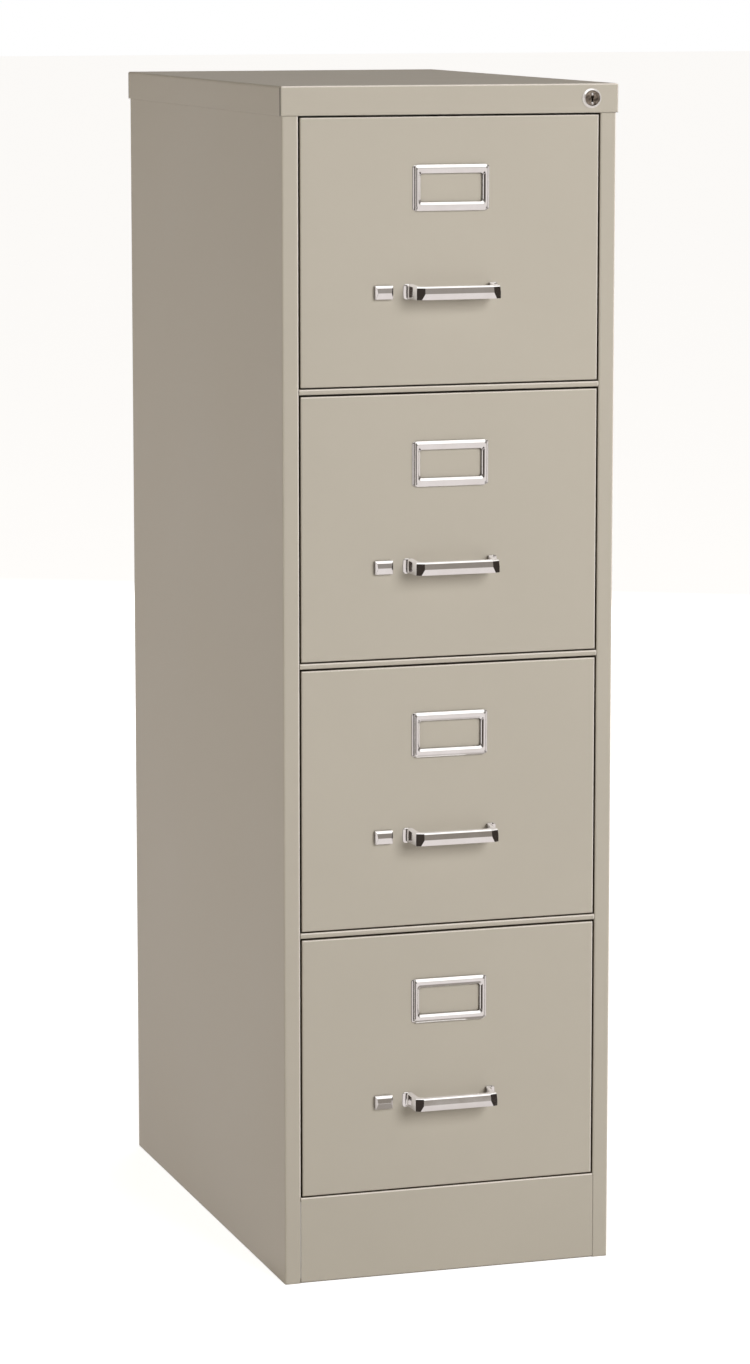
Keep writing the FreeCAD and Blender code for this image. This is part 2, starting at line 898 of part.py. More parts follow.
def drawer_fixings(number):
    """Small steel pieces of a drawer: latch guides, spring anchor and lock catch."""
    z = front_top(number) - handle_below_top
    return [latch_guide(place, z) for place in latch_guide_places] + [spring_anchor(z), lock_catch(number)]


def follower(number):
    """Upright plate with turned edges, on a shoe that slides along the rib."""
    floor_top = opening_floor(number) + body_rise + 2 * body_sheet
    y = body_back_y - follower_from_back - shoe_length
    low = floor_top + follower_lift
    path = [
        (-follower_half_width, y + follower_flange),
        (-follower_half_width, y),
        (follower_half_width, y),
        (follower_half_width, y + follower_flange),
    ]
    plate = sheet(path, follower_sheet, 0, plan(low), V(0, 0, follower_height))
    inner_half = rib_width / 2 + shoe_fit
    outer_half = inner_half + shoe_wall
    roof_low = floor_top + rib_height + shoe_fit
    base_z = roof_low + shoe_roof
    end = y + shoe_length
    shoe = block(-outer_half, outer_half, y, end, floor_top + running_gap, base_z)
    groove = block(-inner_half, inner_half, y - overrun, end + overrun, floor_top - overrun, roof_low)
    plate_back = y + follower_sheet
    triangle = [(plate_back, base_z), (end, base_z), (plate_back, base_z + gusset_height)]
    gusset = polygon_face(triangle, side_view(-gusset_gauge / 2)).extrude(V(gusset_gauge, 0, 0))
    return shoe.cut(groove).fuse(plate).fuse(gusset)


# Lock


def lock_barrel():
    """Rim on the lip of the cap and body through lip and header, bored in two steps for the plug."""
    lip = face_y - cap_proud
    rim_front = lip - lock_rim_height
    rim = rod(lock_rim_radius, V(lock_x, lip, lock_z), V(0, -lock_rim_height, 0))
    rim = rim.makeChamfer(lock_rim_bevel, front_edges(rim, rim_front))
    barrel = rim.fuse(rod(lock_body_radius, V(lock_x, lip, lock_z), V(0, cap_proud + lock_body_length, 0)))
    mouth = V(lock_x, rim_front, lock_z)
    wide = rod(plug_radius + plug_fit, mouth, V(0, plug_recess + plug_head_length + plug_shoulder_gap, 0))
    depth = lock_rim_height + cap_proud + lock_body_length + overrun
    return barrel.cut(wide).cut(rod(plug_core_radius + plug_fit, mouth, V(0, depth, 0)))


def lock_nut():
    """Hexagonal nut that clamps the lock on the header, one corner up."""
    corners = []
    for step in range(lock_nut_sides):
        angle = 2 * math.pi * (step + 1 / 2) / lock_nut_sides
        across, up = lock_nut_radius * math.cos(angle), lock_nut_radius * math.sin(angle)
        corners.append((lock_x + across, lock_z + up))
    nut = polygon_face(corners, elevation(face_y + case_sheet)).extrude(V(0, lock_nut_height, 0))
    reach = V(0, lock_nut_height + overrun, 0)
    return nut.cut(rod(lock_body_radius + lock_hole_fit, V(lock_x, face_y, lock_z), reach))


def lock_plug():
    """Turning plug with its keyway, the cam arm on its end and the pin that lifts the bar."""
    head_front = face_y - cap_proud - lock_rim_height + plug_recess
    head = rod(plug_radius, V(lock_x, head_front, lock_z), V(0, plug_head_length, 0))
    core = rod(plug_core_radius, V(lock_x, head_front, lock_z), V(0, cam_front_y - head_front, 0))
    plug = head.fuse(core)
    half_key = keyway_height / 2
    slot = block(
        lock_x - keyway_width / 2,
        lock_x + keyway_width / 2,
        head_front - overrun,
        head_front + keyway_depth,
        lock_z - half_key,
        lock_z + half_key,
    )
    tip = cam_arm + cam_half_width
    corners = [
        (-cam_hub, -cam_hub),
        (0, -cam_hub),
        (tip, -cam_half_width),
        (tip, cam_half_width),
        (0, cam_hub),
        (-cam_hub, cam_hub),
    ]
    outline = softened(corners, [cam_round] * len(corners))
    arm = polygon_face(outline, elevation(cam_front_y)).extrude(V(0, cam_gauge, 0))
    arm = arm.fuse(rod(cam_pin_radius, V(cam_arm, cam_back_y, 0), V(0, cam_pin_length, 0)))
    arm.rotate(V(0, 0, 0), V(0, 1, 0), cam_swing)
    arm.translate(V(lock_x, 0, lock_z))
    return plug.cut(slot).fuse(arm)


def lock_bar():
    """Flat bar in the right stile, and welded to its edge a drive plate and a lug for each drawer."""
    low = opening_floor(drawer_count) + bar_foot_lift
    pin_low_z = lock_z - bar_travel / 2
    high = pin_low_z + drive_plate_height / 2
    bar = block(bar_left_x, bar_left_x + bar_width, bar_front_y, bar_back_y, low, high)
    pin_low_x = lock_x + cam_arm * math.cos(math.radians(cam_swing))
    plate_left = pin_low_x - cam_pin_radius - drive_plate_inset
    plate = block(plate_left, bar_left_x, bar_front_y, bar_back_y, high - drive_plate_height, high)
    slot_left = pin_low_x - cam_pin_radius - cam_slot_fit
    slot_right = lock_x + cam_arm + cam_pin_radius + cam_slot_fit
    half = cam_pin_radius + cam_slot_fit
    before, behind = bar_front_y - overrun, bar_back_y + overrun
    plate = plate.cut(block(slot_left, slot_right, before, behind, pin_low_z - half, pin_low_z + half))
    lugs = []
    for number in range(1, drawer_count + 1):
        z = opening_floor(number) + lug_rise
        lugs.append(block(bar_left_x - lug_reach, bar_left_x, bar_front_y, bar_back_y, z, z + lug_height))
    return [bar, plate] + lugs


def make_case():
    """Writes the pieces that stand still."""
    left = left_side_panel()
    save("left_side_panel", left.cut(strike_slots()))
    save("right_side_panel", mirrored(left))
    save("back_panel", back_panel())
    save("top_cap", top_cap())
    save("base_front", cross_rail(0, base_height, base_top_return, base_foot_return))
    dividers = [
        cross_rail(opening_floor(number) - divider_height, divider_height, divider_depth, divider_depth)
        for number in range(1, drawer_count)
    ]
    save("cross_rails", header_rail(), lock_nut(), *dividers)
    save("floor_pan", floor_pan())
    save("uprights", *uprights())
    members = [cabinet_member(slide_height(number)) for number in range(1, drawer_count + 1)]
    save("cabinet_slides", *both_sides(members))
    save("lock_barrel", lock_barrel())
    save("lock_plug", lock_plug())
    save("lock_bar", *lock_bar())


def make_drawer(number):
    """Writes the pieces of one drawer."""
    prefix = "drawer_" + str(number) + "_"
    z = slide_height(number)
    save(prefix + "front", drawer_front(number))
    save(prefix + "body", drawer_body(number))
    save(prefix + "sides", *both_sides([drawer_side(number)]))
    save(prefix + "handle", handle(number))
    save(prefix + "label_holder", label_holder(number))
    save(prefix + "latch_knob", latch_knob(number))
    save(prefix + "latch_bar", latch_bar(number))
    save(prefix + "latch_spring", latch_spring(number))
    save(prefix + "fixings", *drawer_fixings(number))
    save(prefix + "runners", *both_sides([drawer_member(z)]))
    save(prefix + "middle_slides", *both_sides([middle_member(z)] + ball_retainers(z)))
    save(prefix + "follower", follower(number))


os.makedirs("parts", exist_ok=True)
make_case()
for drawer_number in range(1, drawer_count + 1):
    make_drawer(drawer_number)
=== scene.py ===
"""Upright four-drawer filing cabinet: its enamel, its bright fittings and the studio it stands in.

Metres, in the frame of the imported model: X to the right of someone facing the drawers,
-Y out of the drawer fronts and Z up, with the floor at zero.
"""

import json
import math

import bmesh
import bpy
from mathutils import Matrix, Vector


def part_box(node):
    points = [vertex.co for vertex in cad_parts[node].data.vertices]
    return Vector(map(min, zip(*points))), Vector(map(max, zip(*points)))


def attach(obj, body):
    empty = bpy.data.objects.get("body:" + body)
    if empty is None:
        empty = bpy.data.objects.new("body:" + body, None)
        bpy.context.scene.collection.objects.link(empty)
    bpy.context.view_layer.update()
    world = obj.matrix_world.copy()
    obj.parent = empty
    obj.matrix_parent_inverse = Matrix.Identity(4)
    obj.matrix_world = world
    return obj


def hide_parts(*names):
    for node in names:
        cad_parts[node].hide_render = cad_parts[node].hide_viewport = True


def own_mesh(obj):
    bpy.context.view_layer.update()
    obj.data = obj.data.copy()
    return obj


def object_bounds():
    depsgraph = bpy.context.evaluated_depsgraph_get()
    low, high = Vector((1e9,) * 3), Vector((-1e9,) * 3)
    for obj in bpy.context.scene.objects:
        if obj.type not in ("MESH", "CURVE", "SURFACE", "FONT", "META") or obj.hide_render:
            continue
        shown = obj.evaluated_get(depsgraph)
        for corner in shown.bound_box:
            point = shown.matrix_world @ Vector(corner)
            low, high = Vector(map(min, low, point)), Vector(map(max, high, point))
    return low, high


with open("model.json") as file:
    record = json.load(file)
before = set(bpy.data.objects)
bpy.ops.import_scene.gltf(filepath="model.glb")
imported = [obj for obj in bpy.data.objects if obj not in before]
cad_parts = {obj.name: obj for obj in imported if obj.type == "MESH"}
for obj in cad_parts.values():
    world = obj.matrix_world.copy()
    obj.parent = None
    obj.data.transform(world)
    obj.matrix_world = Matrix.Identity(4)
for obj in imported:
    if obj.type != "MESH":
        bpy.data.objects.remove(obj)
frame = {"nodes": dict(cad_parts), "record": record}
cad_low, cad_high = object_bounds()
nodes = frame["nodes"]

DRAWERS = (1, 2, 3, 4)
MM = 0.001


# Node trees


def feed(tree, socket, value):
    """Links an input to another node's output, or sets the input's own value."""
    if isinstance(value, bpy.types.NodeSocket):
        tree.links.new(value, socket)
    else:
        socket.default_value = value


def put(tree, kind, inputs=None, **settings):
    """Adds a node, sets its properties, and sets or links its inputs by name or number."""
    node = tree.nodes.new(kind)
    for name, value in settings.items():
        setattr(node, name, value)
    for name, value in (inputs or {}).items():
        feed(tree, node.inputs[name], value)
    return node


def maths(tree, operation, first, second=0.0):
    """Result of one Math node."""
    return put(tree, "ShaderNodeMath", {0: first, 1: second}, operation=operation).outputs[0]


def blend_colours(tree, share, first, second, way="MIX"):
    """Result of one colour Mix node."""
    node = put(tree, "ShaderNodeMix", data_type="RGBA", blend_type=way)
    for label, value in (("Factor", share), (6, first), (7, second)):
        feed(tree, node.inputs[label], value)
    return node.outputs[2]


def remap(tree, value, low, high, new_low, new_high):
    """Result of one Map Range node, held within its new range."""
    inputs = {"Value": value, "From Min": low, "From Max": high, "To Min": new_low, "To Max": new_high}
    return put(tree, "ShaderNodeMapRange", inputs, clamp=True).outputs["Result"]


def open_group(name, inputs, outputs):
    """Starts a shader group with named sockets."""
    group = bpy.data.node_groups.new(name, "ShaderNodeTree")
    for label, kind, value in inputs:
        socket = group.interface.new_socket(label, in_out="INPUT", socket_type=kind)
        socket.default_value = value
    for label, kind in outputs:
        group.interface.new_socket(label, in_out="OUTPUT", socket_type=kind)
    return group, group.nodes.new("NodeGroupInput"), group.nodes.new("NodeGroupOutput")


def use_group(tree, group, **values):
    """Places a shader group in a material. An underscore in a name stands for a space."""
    node = tree.nodes.new("ShaderNodeGroup")
    node.node_tree = group
    for name, value in values.items():
        feed(tree, node.inputs[name.replace("_", " ")], value)
    return node


def object_place(tree):
    """Output with the object's own coordinates."""
    return put(tree, "ShaderNodeTexCoord").outputs["Object"]


def bare_tree(owner):
    """Empty node tree of a material or a world."""
    owner.use_nodes = True
    owner.node_tree.nodes.clear()
    return owner.node_tree


FLOAT, VECTOR = "NodeSocketFloat", "NodeSocketVector"
# Towards the key light: enamel edges that face it get a painted highlight
LIT_SIDE = (0.62, -0.45, 0.64)
# Largest part of the normal on a flat face and in the middle of an edge
FLAT_NORMAL, EDGE_NORMAL = 0.985, 0.87
SHADER_SAMPLES = 6


# Shared effects


def make_orange_peel():
    """The fine waviness of sprayed enamel, and its slow drift in thickness."""
    group, taken, given = open_group(
        "sprayed_enamel_surface",
        [("Waves per Metre", FLOAT, 420.0), ("Grain per Metre", FLOAT, 2600.0)],
        [("Height", FLOAT), ("Drift", FLOAT)],
    )
    place = object_place(group)
    waves = put(group, "ShaderNodeTexNoise", {"Vector": place, "Scale": taken.outputs[0], "Detail": 2.0})
    grain = put(group, "ShaderNodeTexNoise", {"Vector": place, "Scale": taken.outputs[1], "Detail": 1.0})
    drift = put(group, "ShaderNodeTexNoise", {"Vector": place, "Scale": 3.2, "Detail": 3.0, "Roughness": 0.55})
    softer = maths(group, "MULTIPLY", grain.outputs["Fac"], 0.3)
    group.links.new(maths(group, "ADD", waves.outputs["Fac"], softer), given.inputs["Height"])
    group.links.new(drift.outputs["Fac"], given.inputs["Drift"])
    return group


def make_soft_edges():
    """Rounds sharp edges for the light, finds the edges, and finds which of them face the window side, where the
    enamel paints a highlight.
    """
    group, taken, given = open_group(
        "softened_edges",
        [("Radius", FLOAT, 0.001)],
        [("Normal", VECTOR), ("Edge", FLOAT), ("Lit Edge", FLOAT)],
    )
    radius = {"Radius": taken.outputs["Radius"]}
    rounded = put(group, "ShaderNodeBevel", radius, samples=SHADER_SAMPLES).outputs["Normal"]
    size = put(group, "ShaderNodeVectorMath", {0: rounded}, operation="ABSOLUTE").outputs["Vector"]
    parts = put(group, "ShaderNodeSeparateXYZ", {0: size})
    largest = maths(group, "MAXIMUM", parts.outputs["X"], parts.outputs["Y"])
    largest = maths(group, "MAXIMUM", largest, parts.outputs["Z"])
    edge = remap(group, largest, FLAT_NORMAL, EDGE_NORMAL, 0.0, 1.0)
    towards = put(group, "ShaderNodeVectorMath", {0: rounded, 1: LIT_SIDE}, operation="DOT_PRODUCT")
    lit = maths(group, "MULTIPLY", edge, remap(group, towards.outputs["Value"], 0.46, 0.66, 0.0, 1.0))
    group.links.new(rounded, given.inputs["Normal"])
    group.links.new(edge, given.inputs["Edge"])
    group.links.new(lit, given.inputs["Lit Edge"])
    return group


def make_deep_corners():
    """Zero in narrow gaps and recesses, one on open faces."""
    group, taken, given = open_group(
        "narrow_gaps",
        [("Reach", FLOAT, 0.008), ("Closed", FLOAT, 0.1), ("Open", FLOAT, 0.5)],
        [("Openness", FLOAT)],
    )
    near = put(group, "ShaderNodeAmbientOcclusion", {"Distance": taken.outputs["Reach"]}, samples=SHADER_SAMPLES)
    inputs = {"Value": near.outputs["AO"], "From Min": taken.outputs["Closed"], "From Max": taken.outputs["Open"]}
    openness = put(group, "ShaderNodeMapRange", inputs, clamp=True).outputs["Result"]
    group.links.new(openness, given.inputs["Openness"])
    return group


def make_dust():
    """A thin film of dust on faces that look up."""
    group, taken, given = open_group(
        "settled_dust",
        [("Amount", FLOAT, 0.3)],
        [("Mask", FLOAT)],
    )
    normal = put(group, "ShaderNodeNewGeometry").outputs["Normal"]
    up = put(group, "ShaderNodeSeparateXYZ", {0: normal}).outputs["Z"]
    facing = remap(group, up, 0.5, 1.0, 0.0, 1.0)
    place = object_place(group)
    cloud = put(group, "ShaderNodeTexNoise", {"Vector": place, "Scale": 14.0, "Detail": 6.0, "Roughness": 0.6})
    patchy = remap(group, cloud.outputs["Fac"], 0.35, 0.7, 0.3, 1.0)
    mask = maths(group, "MULTIPLY", maths(group, "MULTIPLY", facing, patchy), taken.outputs["Amount"])
    group.links.new(mask, given.inputs["Mask"])
    return group


def make_fine_lines():
    """Rolling or polishing lines that run along one axis."""
    group, taken, given = open_group(
        "fine_metal_lines",
        [
            ("Stretch", VECTOR, (1.0, 1.0, 1.0)),
            ("Lines per Metre", FLOAT, 900.0),
            ("Clouds per Metre", FLOAT, 55.0),
        ],
        [("Height", FLOAT), ("Cloud", FLOAT)],
    )
    place = object_place(group)
    drawn = put(group, "ShaderNodeVectorMath", {0: place, 1: taken.outputs["Stretch"]}, operation="MULTIPLY")
    inputs = {"Vector": drawn.outputs[0], "Scale": taken.outputs["Lines per Metre"], "Detail": 3.0}
    lines = put(group, "ShaderNodeTexNoise", inputs)
    inputs = {"Vector": place, "Scale": taken.outputs["Clouds per Metre"], "Detail": 4.0}
    cloud = put(group, "ShaderNodeTexNoise", inputs)
    group.links.new(lines.outputs["Fac"], given.inputs["Height"])
    group.links.new(cloud.outputs["Fac"], given.inputs["Cloud"])
    return group


def make_corner_seam():
    """One in the open seam of a folded corner on the flanks of a cap, zero elsewhere."""
    group, taken, given = open_group(
        "folded_corner_seam",
        [("Centre", FLOAT, 0.0), ("Half Width", FLOAT, 0.001), ("Flank", FLOAT, 0.19), ("Top", FLOAT, 1.3)],
        [("Seam", FLOAT)],
    )
    parts = put(group, "ShaderNodeSeparateXYZ", {0: object_place(group)})
    away = maths(group, "ABSOLUTE", maths(group, "SUBTRACT", parts.outputs["Y"], taken.outputs["Centre"]))
    share = maths(group, "DIVIDE", away, taken.outputs["Half Width"])
    line = remap(group, share, 0.75, 1.25, 1.0, 0.0)
    beside = maths(group, "GREATER_THAN", maths(group, "ABSOLUTE", parts.outputs["X"]), taken.outputs["Flank"])
    below = maths(group, "LESS_THAN", parts.outputs["Z"], taken.outputs["Top"])
    seam = maths(group, "MULTIPLY", line, maths(group, "MULTIPLY", beside, below))
    group.links.new(seam, given.inputs["Seam"])
    return group


ORANGE_PEEL = make_orange_peel()
SOFT_EDGES = make_soft_edges()
DUST = make_dust()
DEEP_CORNERS = make_deep_corners()
FINE_LINES = make_fine_lines()
CORNER_SEAM = make_corner_seam()


# Finishes

PUTTY = (0.515, 0.475, 0.405, 1.0)
# Painted highlight colour for enamel edges that face the key light
PAINTED_EDGE_HIGHLIGHT = (0.97, 0.91, 0.84, 1.0)
DUST_FILM = (0.42, 0.40, 0.36, 1.0)
# Painted reflection: the paler paint colour that chrome mirrors in place of the real one
PAINT_BRIGHTENED_IN_REFLECTIONS = (0.80, 0.76, 0.73, 1.0)
# Painted shade with some grime: the colour that narrow gaps and inside corners of the enamel darken towards
PAINTED_GAP_SHADE_AND_GRIME = (0.085, 0.056, 0.020, 1.0)
SEAM_SHADE = (0.06, 0.05, 0.035, 1.0)
CHROME_TINTS = (0.83, 0.815, 0.80, 1.0), (0.88, 0.872, 0.865, 1.0)
# Painted shade: the colour that plating darkens towards in gaps and corners
PAINTED_CHROME_SHADE = (0.13, 0.11, 0.085, 1.0)
SEAM_HALF_WIDTH, SEAM_FLANK, SEAM_BELOW_TOP = 0.0013, 0.19, 0.002
# Width of the strip at a side panel's outer corner that keeps its soft edge beside the base
OUTER_STRIP = 0.006
SEAM_BEHIND_LIP, JUST_ABOVE_BASE = 0.0036, 0.001
ENAMEL_GLOSS_SPREAD = 0.03
# Share of the paint's colour where the coat is thin and thick, and on all edges, which are lighter partly from wear
# and partly as a painted highlight
THIN_COAT, THICK_COAT, WORN_AND_HIGHLIT_COAT = 0.985, 1.012, 1.15
EDGE_WEAR_AND_HIGHLIGHT, EDGE_RUB = 0.35, 0.4
# Coats of enamel: roughness, dust, and radius of the softened edges
CASE_COAT = 0.36, 0.10, 0.0024
BASE_COAT = 0.36, 0.10, 0.0006
FRONT_COAT = 0.34, 0.04, 0.0022
INNER_COAT = 0.45, 0.22, 0.0010
# Narrow gaps in bright plating, where its colour is darkened as painted shade: how far they reach, and when they count
# as closed and as open
PULL_GAPS = 0.004, 0.25, 0.8
FRAME_GAPS = 0.005, 0.42, 0.86


def new_finish(name, **constants):
    """A material with one Principled shader whose plain numbers are set on its own sockets."""
    material = bpy.data.materials.new(name)
    material.use_nodes = True
    tree = material.node_tree
    shader = tree.nodes["Principled BSDF"]
    for label, value in constants.items():
        shader.inputs[label.replace("_", " ")].default_value = value
    return material, tree, shader


def shaded(colour, factor):
    """A colour made lighter or darker by a factor."""
    return tuple(min(1.0, c * factor) for c in colour[:3]) + (1.0,)


def enamel(name, colour, roughness, dust, edge_radius, seam_y=None, welded_below=None):
    """Baked putty enamel on sheet steel.

    A cap shows its folded corner seam at seam_y. A side panel's stile shows no edge below
    welded_below, where the base is welded to it flush.
    """
    material, tree, shader = new_finish(name, Specular_IOR_Level=0.25)
    surface = use_group(tree, ORANGE_PEEL, Waves_per_Metre=420.0, Grain_per_Metre=2600.0)
    edges = use_group(tree, SOFT_EDGES, Radius=edge_radius)
    edge_wear_and_highlight, lit = edges.outputs["Edge"], edges.outputs["Lit Edge"]
    if welded_below is not None:
        parts = put(tree, "ShaderNodeSeparateXYZ", {0: object_place(tree)})
        above = maths(tree, "GREATER_THAN", parts.outputs["Z"], welded_below)
        outer = maths(tree, "GREATER_THAN", maths(tree, "ABSOLUTE", parts.outputs["X"]), cad_high.x - OUTER_STRIP)
        shown = maths(tree, "MAXIMUM", above, outer)
        tree.links.new(maths(tree, "MULTIPLY", shown, edge_radius), edges.inputs["Radius"])
        edge_wear_and_highlight, lit = maths(tree, "MULTIPLY", shown, edge_wear_and_highlight), maths(tree, "MULTIPLY", shown, lit)
    film = use_group(tree, DUST, Amount=dust)
    thickness = remap(tree, surface.outputs["Drift"], 0.35, 0.65, 0.0, 1.0)
    body = blend_colours(tree, thickness, shaded(colour, THIN_COAT), shaded(colour, THICK_COAT))
    # All edges are painted lighter: partly wear, partly a painted highlight
    rubbed = blend_colours(tree, maths(tree, "MULTIPLY", edge_wear_and_highlight, EDGE_WEAR_AND_HIGHLIGHT), body, shaded(colour, WORN_AND_HIGHLIT_COAT))
    # Painted highlight: edges that face the key light are painted in a pale highlight colour
    bright = blend_colours(tree, lit, rubbed, PAINTED_EDGE_HIGHLIGHT)
    dusty = blend_colours(tree, film.outputs["Mask"], bright, DUST_FILM)
    # Painted reflection: paint seen in the chrome is swapped for a paler colour
    in_metal = put(tree, "ShaderNodeLightPath").outputs["Is Glossy Ray"]
    brightened_in_reflections = blend_colours(tree, in_metal, dusty, PAINT_BRIGHTENED_IN_REFLECTIONS)
    # Painted shade with some grime: enamel darkens in narrow gaps and inside corners
    gaps = use_group(tree, DEEP_CORNERS, Reach=0.006, Closed=0.16, Open=0.60)
    painted = blend_colours(tree, gaps.outputs["Openness"], PAINTED_GAP_SHADE_AND_GRIME, brightened_in_reflections)
    if seam_y is not None:
        below = cad_high.z - SEAM_BELOW_TOP
        seam = use_group(
            tree, CORNER_SEAM, Centre=seam_y, Half_Width=SEAM_HALF_WIDTH, Flank=SEAM_FLANK, Top=below
        )
        painted = blend_colours(tree, seam.outputs["Seam"], painted, SEAM_SHADE)
    tree.links.new(painted, shader.inputs["Base Color"])
    glossy, dull = roughness - ENAMEL_GLOSS_SPREAD, roughness + ENAMEL_GLOSS_SPREAD
    gloss = remap(tree, surface.outputs["Drift"], 0.3, 0.7, glossy, dull)
    duller = maths(tree, "ADD", gloss, maths(tree, "MULTIPLY", film.outputs["Mask"], 0.25))
    tree.links.new(duller, shader.inputs["Roughness"])
    inputs = {"Strength": 0.35, "Distance": 0.00004, "Height": surface.outputs["Height"]}
    inputs["Normal"] = edges.outputs["Normal"]
    bump = put(tree, "ShaderNodeBump", inputs)
    tree.links.new(bump.outputs["Normal"], shader.inputs["Normal"])
    return material


def bright_chrome(name, reach, closed, opened):
    """Polished plating with a trace of wiping marks and painted shade in its corners."""
    material, tree, shader = new_finish(name, Metallic=1.0)
    lines = use_group(tree, FINE_LINES, Stretch=(0.12, 1.0, 1.0), Lines_per_Metre=1500.0)
    cloud = remap(tree, lines.outputs["Cloud"], 0.3, 0.7, 0.0, 1.0)
    tint = blend_colours(tree, cloud, *CHROME_TINTS)
    gaps = use_group(tree, DEEP_CORNERS, Reach=reach, Closed=closed, Open=opened)
    # Painted shade: plating darkens in narrow gaps and corners
    shaded_in_gaps = blend_colours(tree, gaps.outputs["Openness"], PAINTED_CHROME_SHADE, tint)
    tree.links.new(shaded_in_gaps, shader.inputs["Base Color"])
    tree.links.new(remap(tree, lines.outputs["Cloud"], 0.3, 0.75, 0.045, 0.11), shader.inputs["Roughness"])
    inputs = {"Strength": 0.12, "Distance": 0.00001, "Height": lines.outputs["Height"]}
    tree.links.new(put(tree, "ShaderNodeBump", inputs).outputs["Normal"], shader.inputs["Normal"])
    return material


def plated_steel(name, light, dark, roughness, stretch, edge_radius, clouds=55.0):
    """Zinc or blued steel strip with rolling lines, cloudy plating and painted shade in its gaps."""
    material, tree, shader = new_finish(name, Metallic=1.0)
    lines = use_group(tree, FINE_LINES, Stretch=stretch, Lines_per_Metre=1100.0, Clouds_per_Metre=clouds)
    edges = use_group(tree, SOFT_EDGES, Radius=edge_radius)
    cloud = remap(tree, lines.outputs["Cloud"], 0.3, 0.7, 0.0, 1.0)
    body = blend_colours(tree, cloud, dark, light)
    wear = maths(tree, "MULTIPLY", edges.outputs["Edge"], EDGE_RUB)
    rubbed = blend_colours(tree, wear, body, shaded(light, 1.2))
    # Painted shade: the strip darkens in narrow gaps towards a near-black of its own dark colour
    gaps = use_group(tree, DEEP_CORNERS, Reach=0.003, Closed=0.12, Open=0.62)
    shaded_in_gaps = blend_colours(tree, gaps.outputs["Openness"], shaded(dark, 0.15), rubbed)
    tree.links.new(shaded_in_gaps, shader.inputs["Base Color"])
    drawn = remap(tree, lines.outputs["Height"], 0.3, 0.7, roughness - 0.06, roughness + 0.08)
    tree.links.new(drawn, shader.inputs["Roughness"])
    inputs = {"Strength": 0.25, "Distance": 0.00003, "Height": lines.outputs["Height"]}
    inputs["Normal"] = edges.outputs["Normal"]
    tree.links.new(put(tree, "ShaderNodeBump", inputs).outputs["Normal"], shader.inputs["Normal"])
    return material


CASE_ENAMEL = enamel("putty_enamel_case", PUTTY, *CASE_COAT)
CAP_ENAMEL = enamel("putty_enamel_cap", PUTTY, *CASE_COAT, seam_y=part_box("top_cap")[0].y + SEAM_BEHIND_LIP)
SIDE_ENAMEL = enamel(
    "putty_enamel_sides", PUTTY, *CASE_COAT, welded_below=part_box("base_front")[1].z + JUST_ABOVE_BASE
)
BASE_ENAMEL = enamel("putty_enamel_base", PUTTY, *BASE_COAT)
FRONT_ENAMEL = enamel("putty_enamel_drawer_fronts", shaded(PUTTY, 1.01), *FRONT_COAT)
INNER_ENAMEL = enamel("putty_enamel_inside", shaded(PUTTY, 0.93), *INNER_COAT)
CHROME = bright_chrome("bright_chrome_plating", *PULL_GAPS)
FRAME_CHROME = bright_chrome("bright_chrome_of_label_frames", *FRAME_GAPS)
ZINC = plated_steel(
    "zinc_plated_strip", (0.66, 0.67, 0.69, 1.0), (0.52, 0.53, 0.55, 1.0), 0.30, (1.0, 0.04, 1.0), 0.0005
)
SPRING_BLUE = plated_steel(
    "blued_spring_strip", (0.25, 0.27, 0.31, 1.0), (0.16, 0.17, 0.20, 1.0), 0.28, (0.04, 1.0, 1.0), 0.0002
)
PLUG_NICKEL = plated_steel(
    "turned_nickel_plug", (0.42, 0.36, 0.30, 1.0), (0.045, 0.036, 0.028, 1.0), 0.20, (1.0, 1.0, 1.0), 0.0003, 380.0
)

FINISH_OF_NODE = {
    "top_cap": CAP_ENAMEL,
    "base_front": BASE_ENAMEL,
    "left_side_panel": SIDE_ENAMEL,
    "right_side_panel": SIDE_ENAMEL,
}
FINISH_OF_SLOT = {
    "case_paint": CASE_ENAMEL,
    "front_paint": FRONT_ENAMEL,
    "inner_paint": INNER_ENAMEL,
    "chrome": CHROME,
    "zinc_steel": ZINC,
    "spring_steel": SPRING_BLUE,
    "lock_core": PLUG_NICKEL,
}


def finish_nodes():
    """Gives each node of the frame the finish of its slot in the record, or its own one."""
    for entry in frame["record"]["subparts"]:
        node = nodes[entry["node"]]
        finish = FINISH_OF_NODE.get(entry["node"], FINISH_OF_SLOT[entry["material_slot"]])
        if not node.material_slots:
            node.data.materials.append(finish)
        for slot in node.material_slots:
            slot.material = finish


finish_nodes()


# Mesh work

MERGE_DISTANCE, BEVEL_MERGE_DISTANCE = 2e-6, 1e-6
FLAT_ANGLE = math.radians(0.5)


def placed(name, data):
    """New object in the scene."""
    made = bpy.data.objects.new(name, data)
    bpy.context.scene.collection.objects.link(made)
    return made


def mesh_of(work, name):
    """Finished mesh of a bmesh, which is freed."""
    mesh = bpy.data.meshes.new(name)
    work.to_mesh(mesh)
    work.free()
    return mesh


def clean_faces(mesh):
    """Bmesh of a copied node's mesh, its loose triangles joined into clean faces."""
    work = bmesh.new()
    work.from_mesh(mesh)
    bmesh.ops.remove_doubles(work, verts=work.verts, dist=MERGE_DISTANCE)
    bmesh.ops.dissolve_limit(work, angle_limit=FLAT_ANGLE, verts=work.verts, edges=work.edges)
    bmesh.ops.recalc_face_normals(work, faces=work.faces)
    return work


def piece_from(mesh, name, finish, slot, body, *stands_for):
    """Makes a finished piece: its object, its finish, the body it rides on and the nodes it replaces."""
    piece = placed(name, mesh)
    mesh.materials.clear()
    mesh.materials.append(finish)
    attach(piece, body)
    if stands_for:
        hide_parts(*stands_for)
    return piece


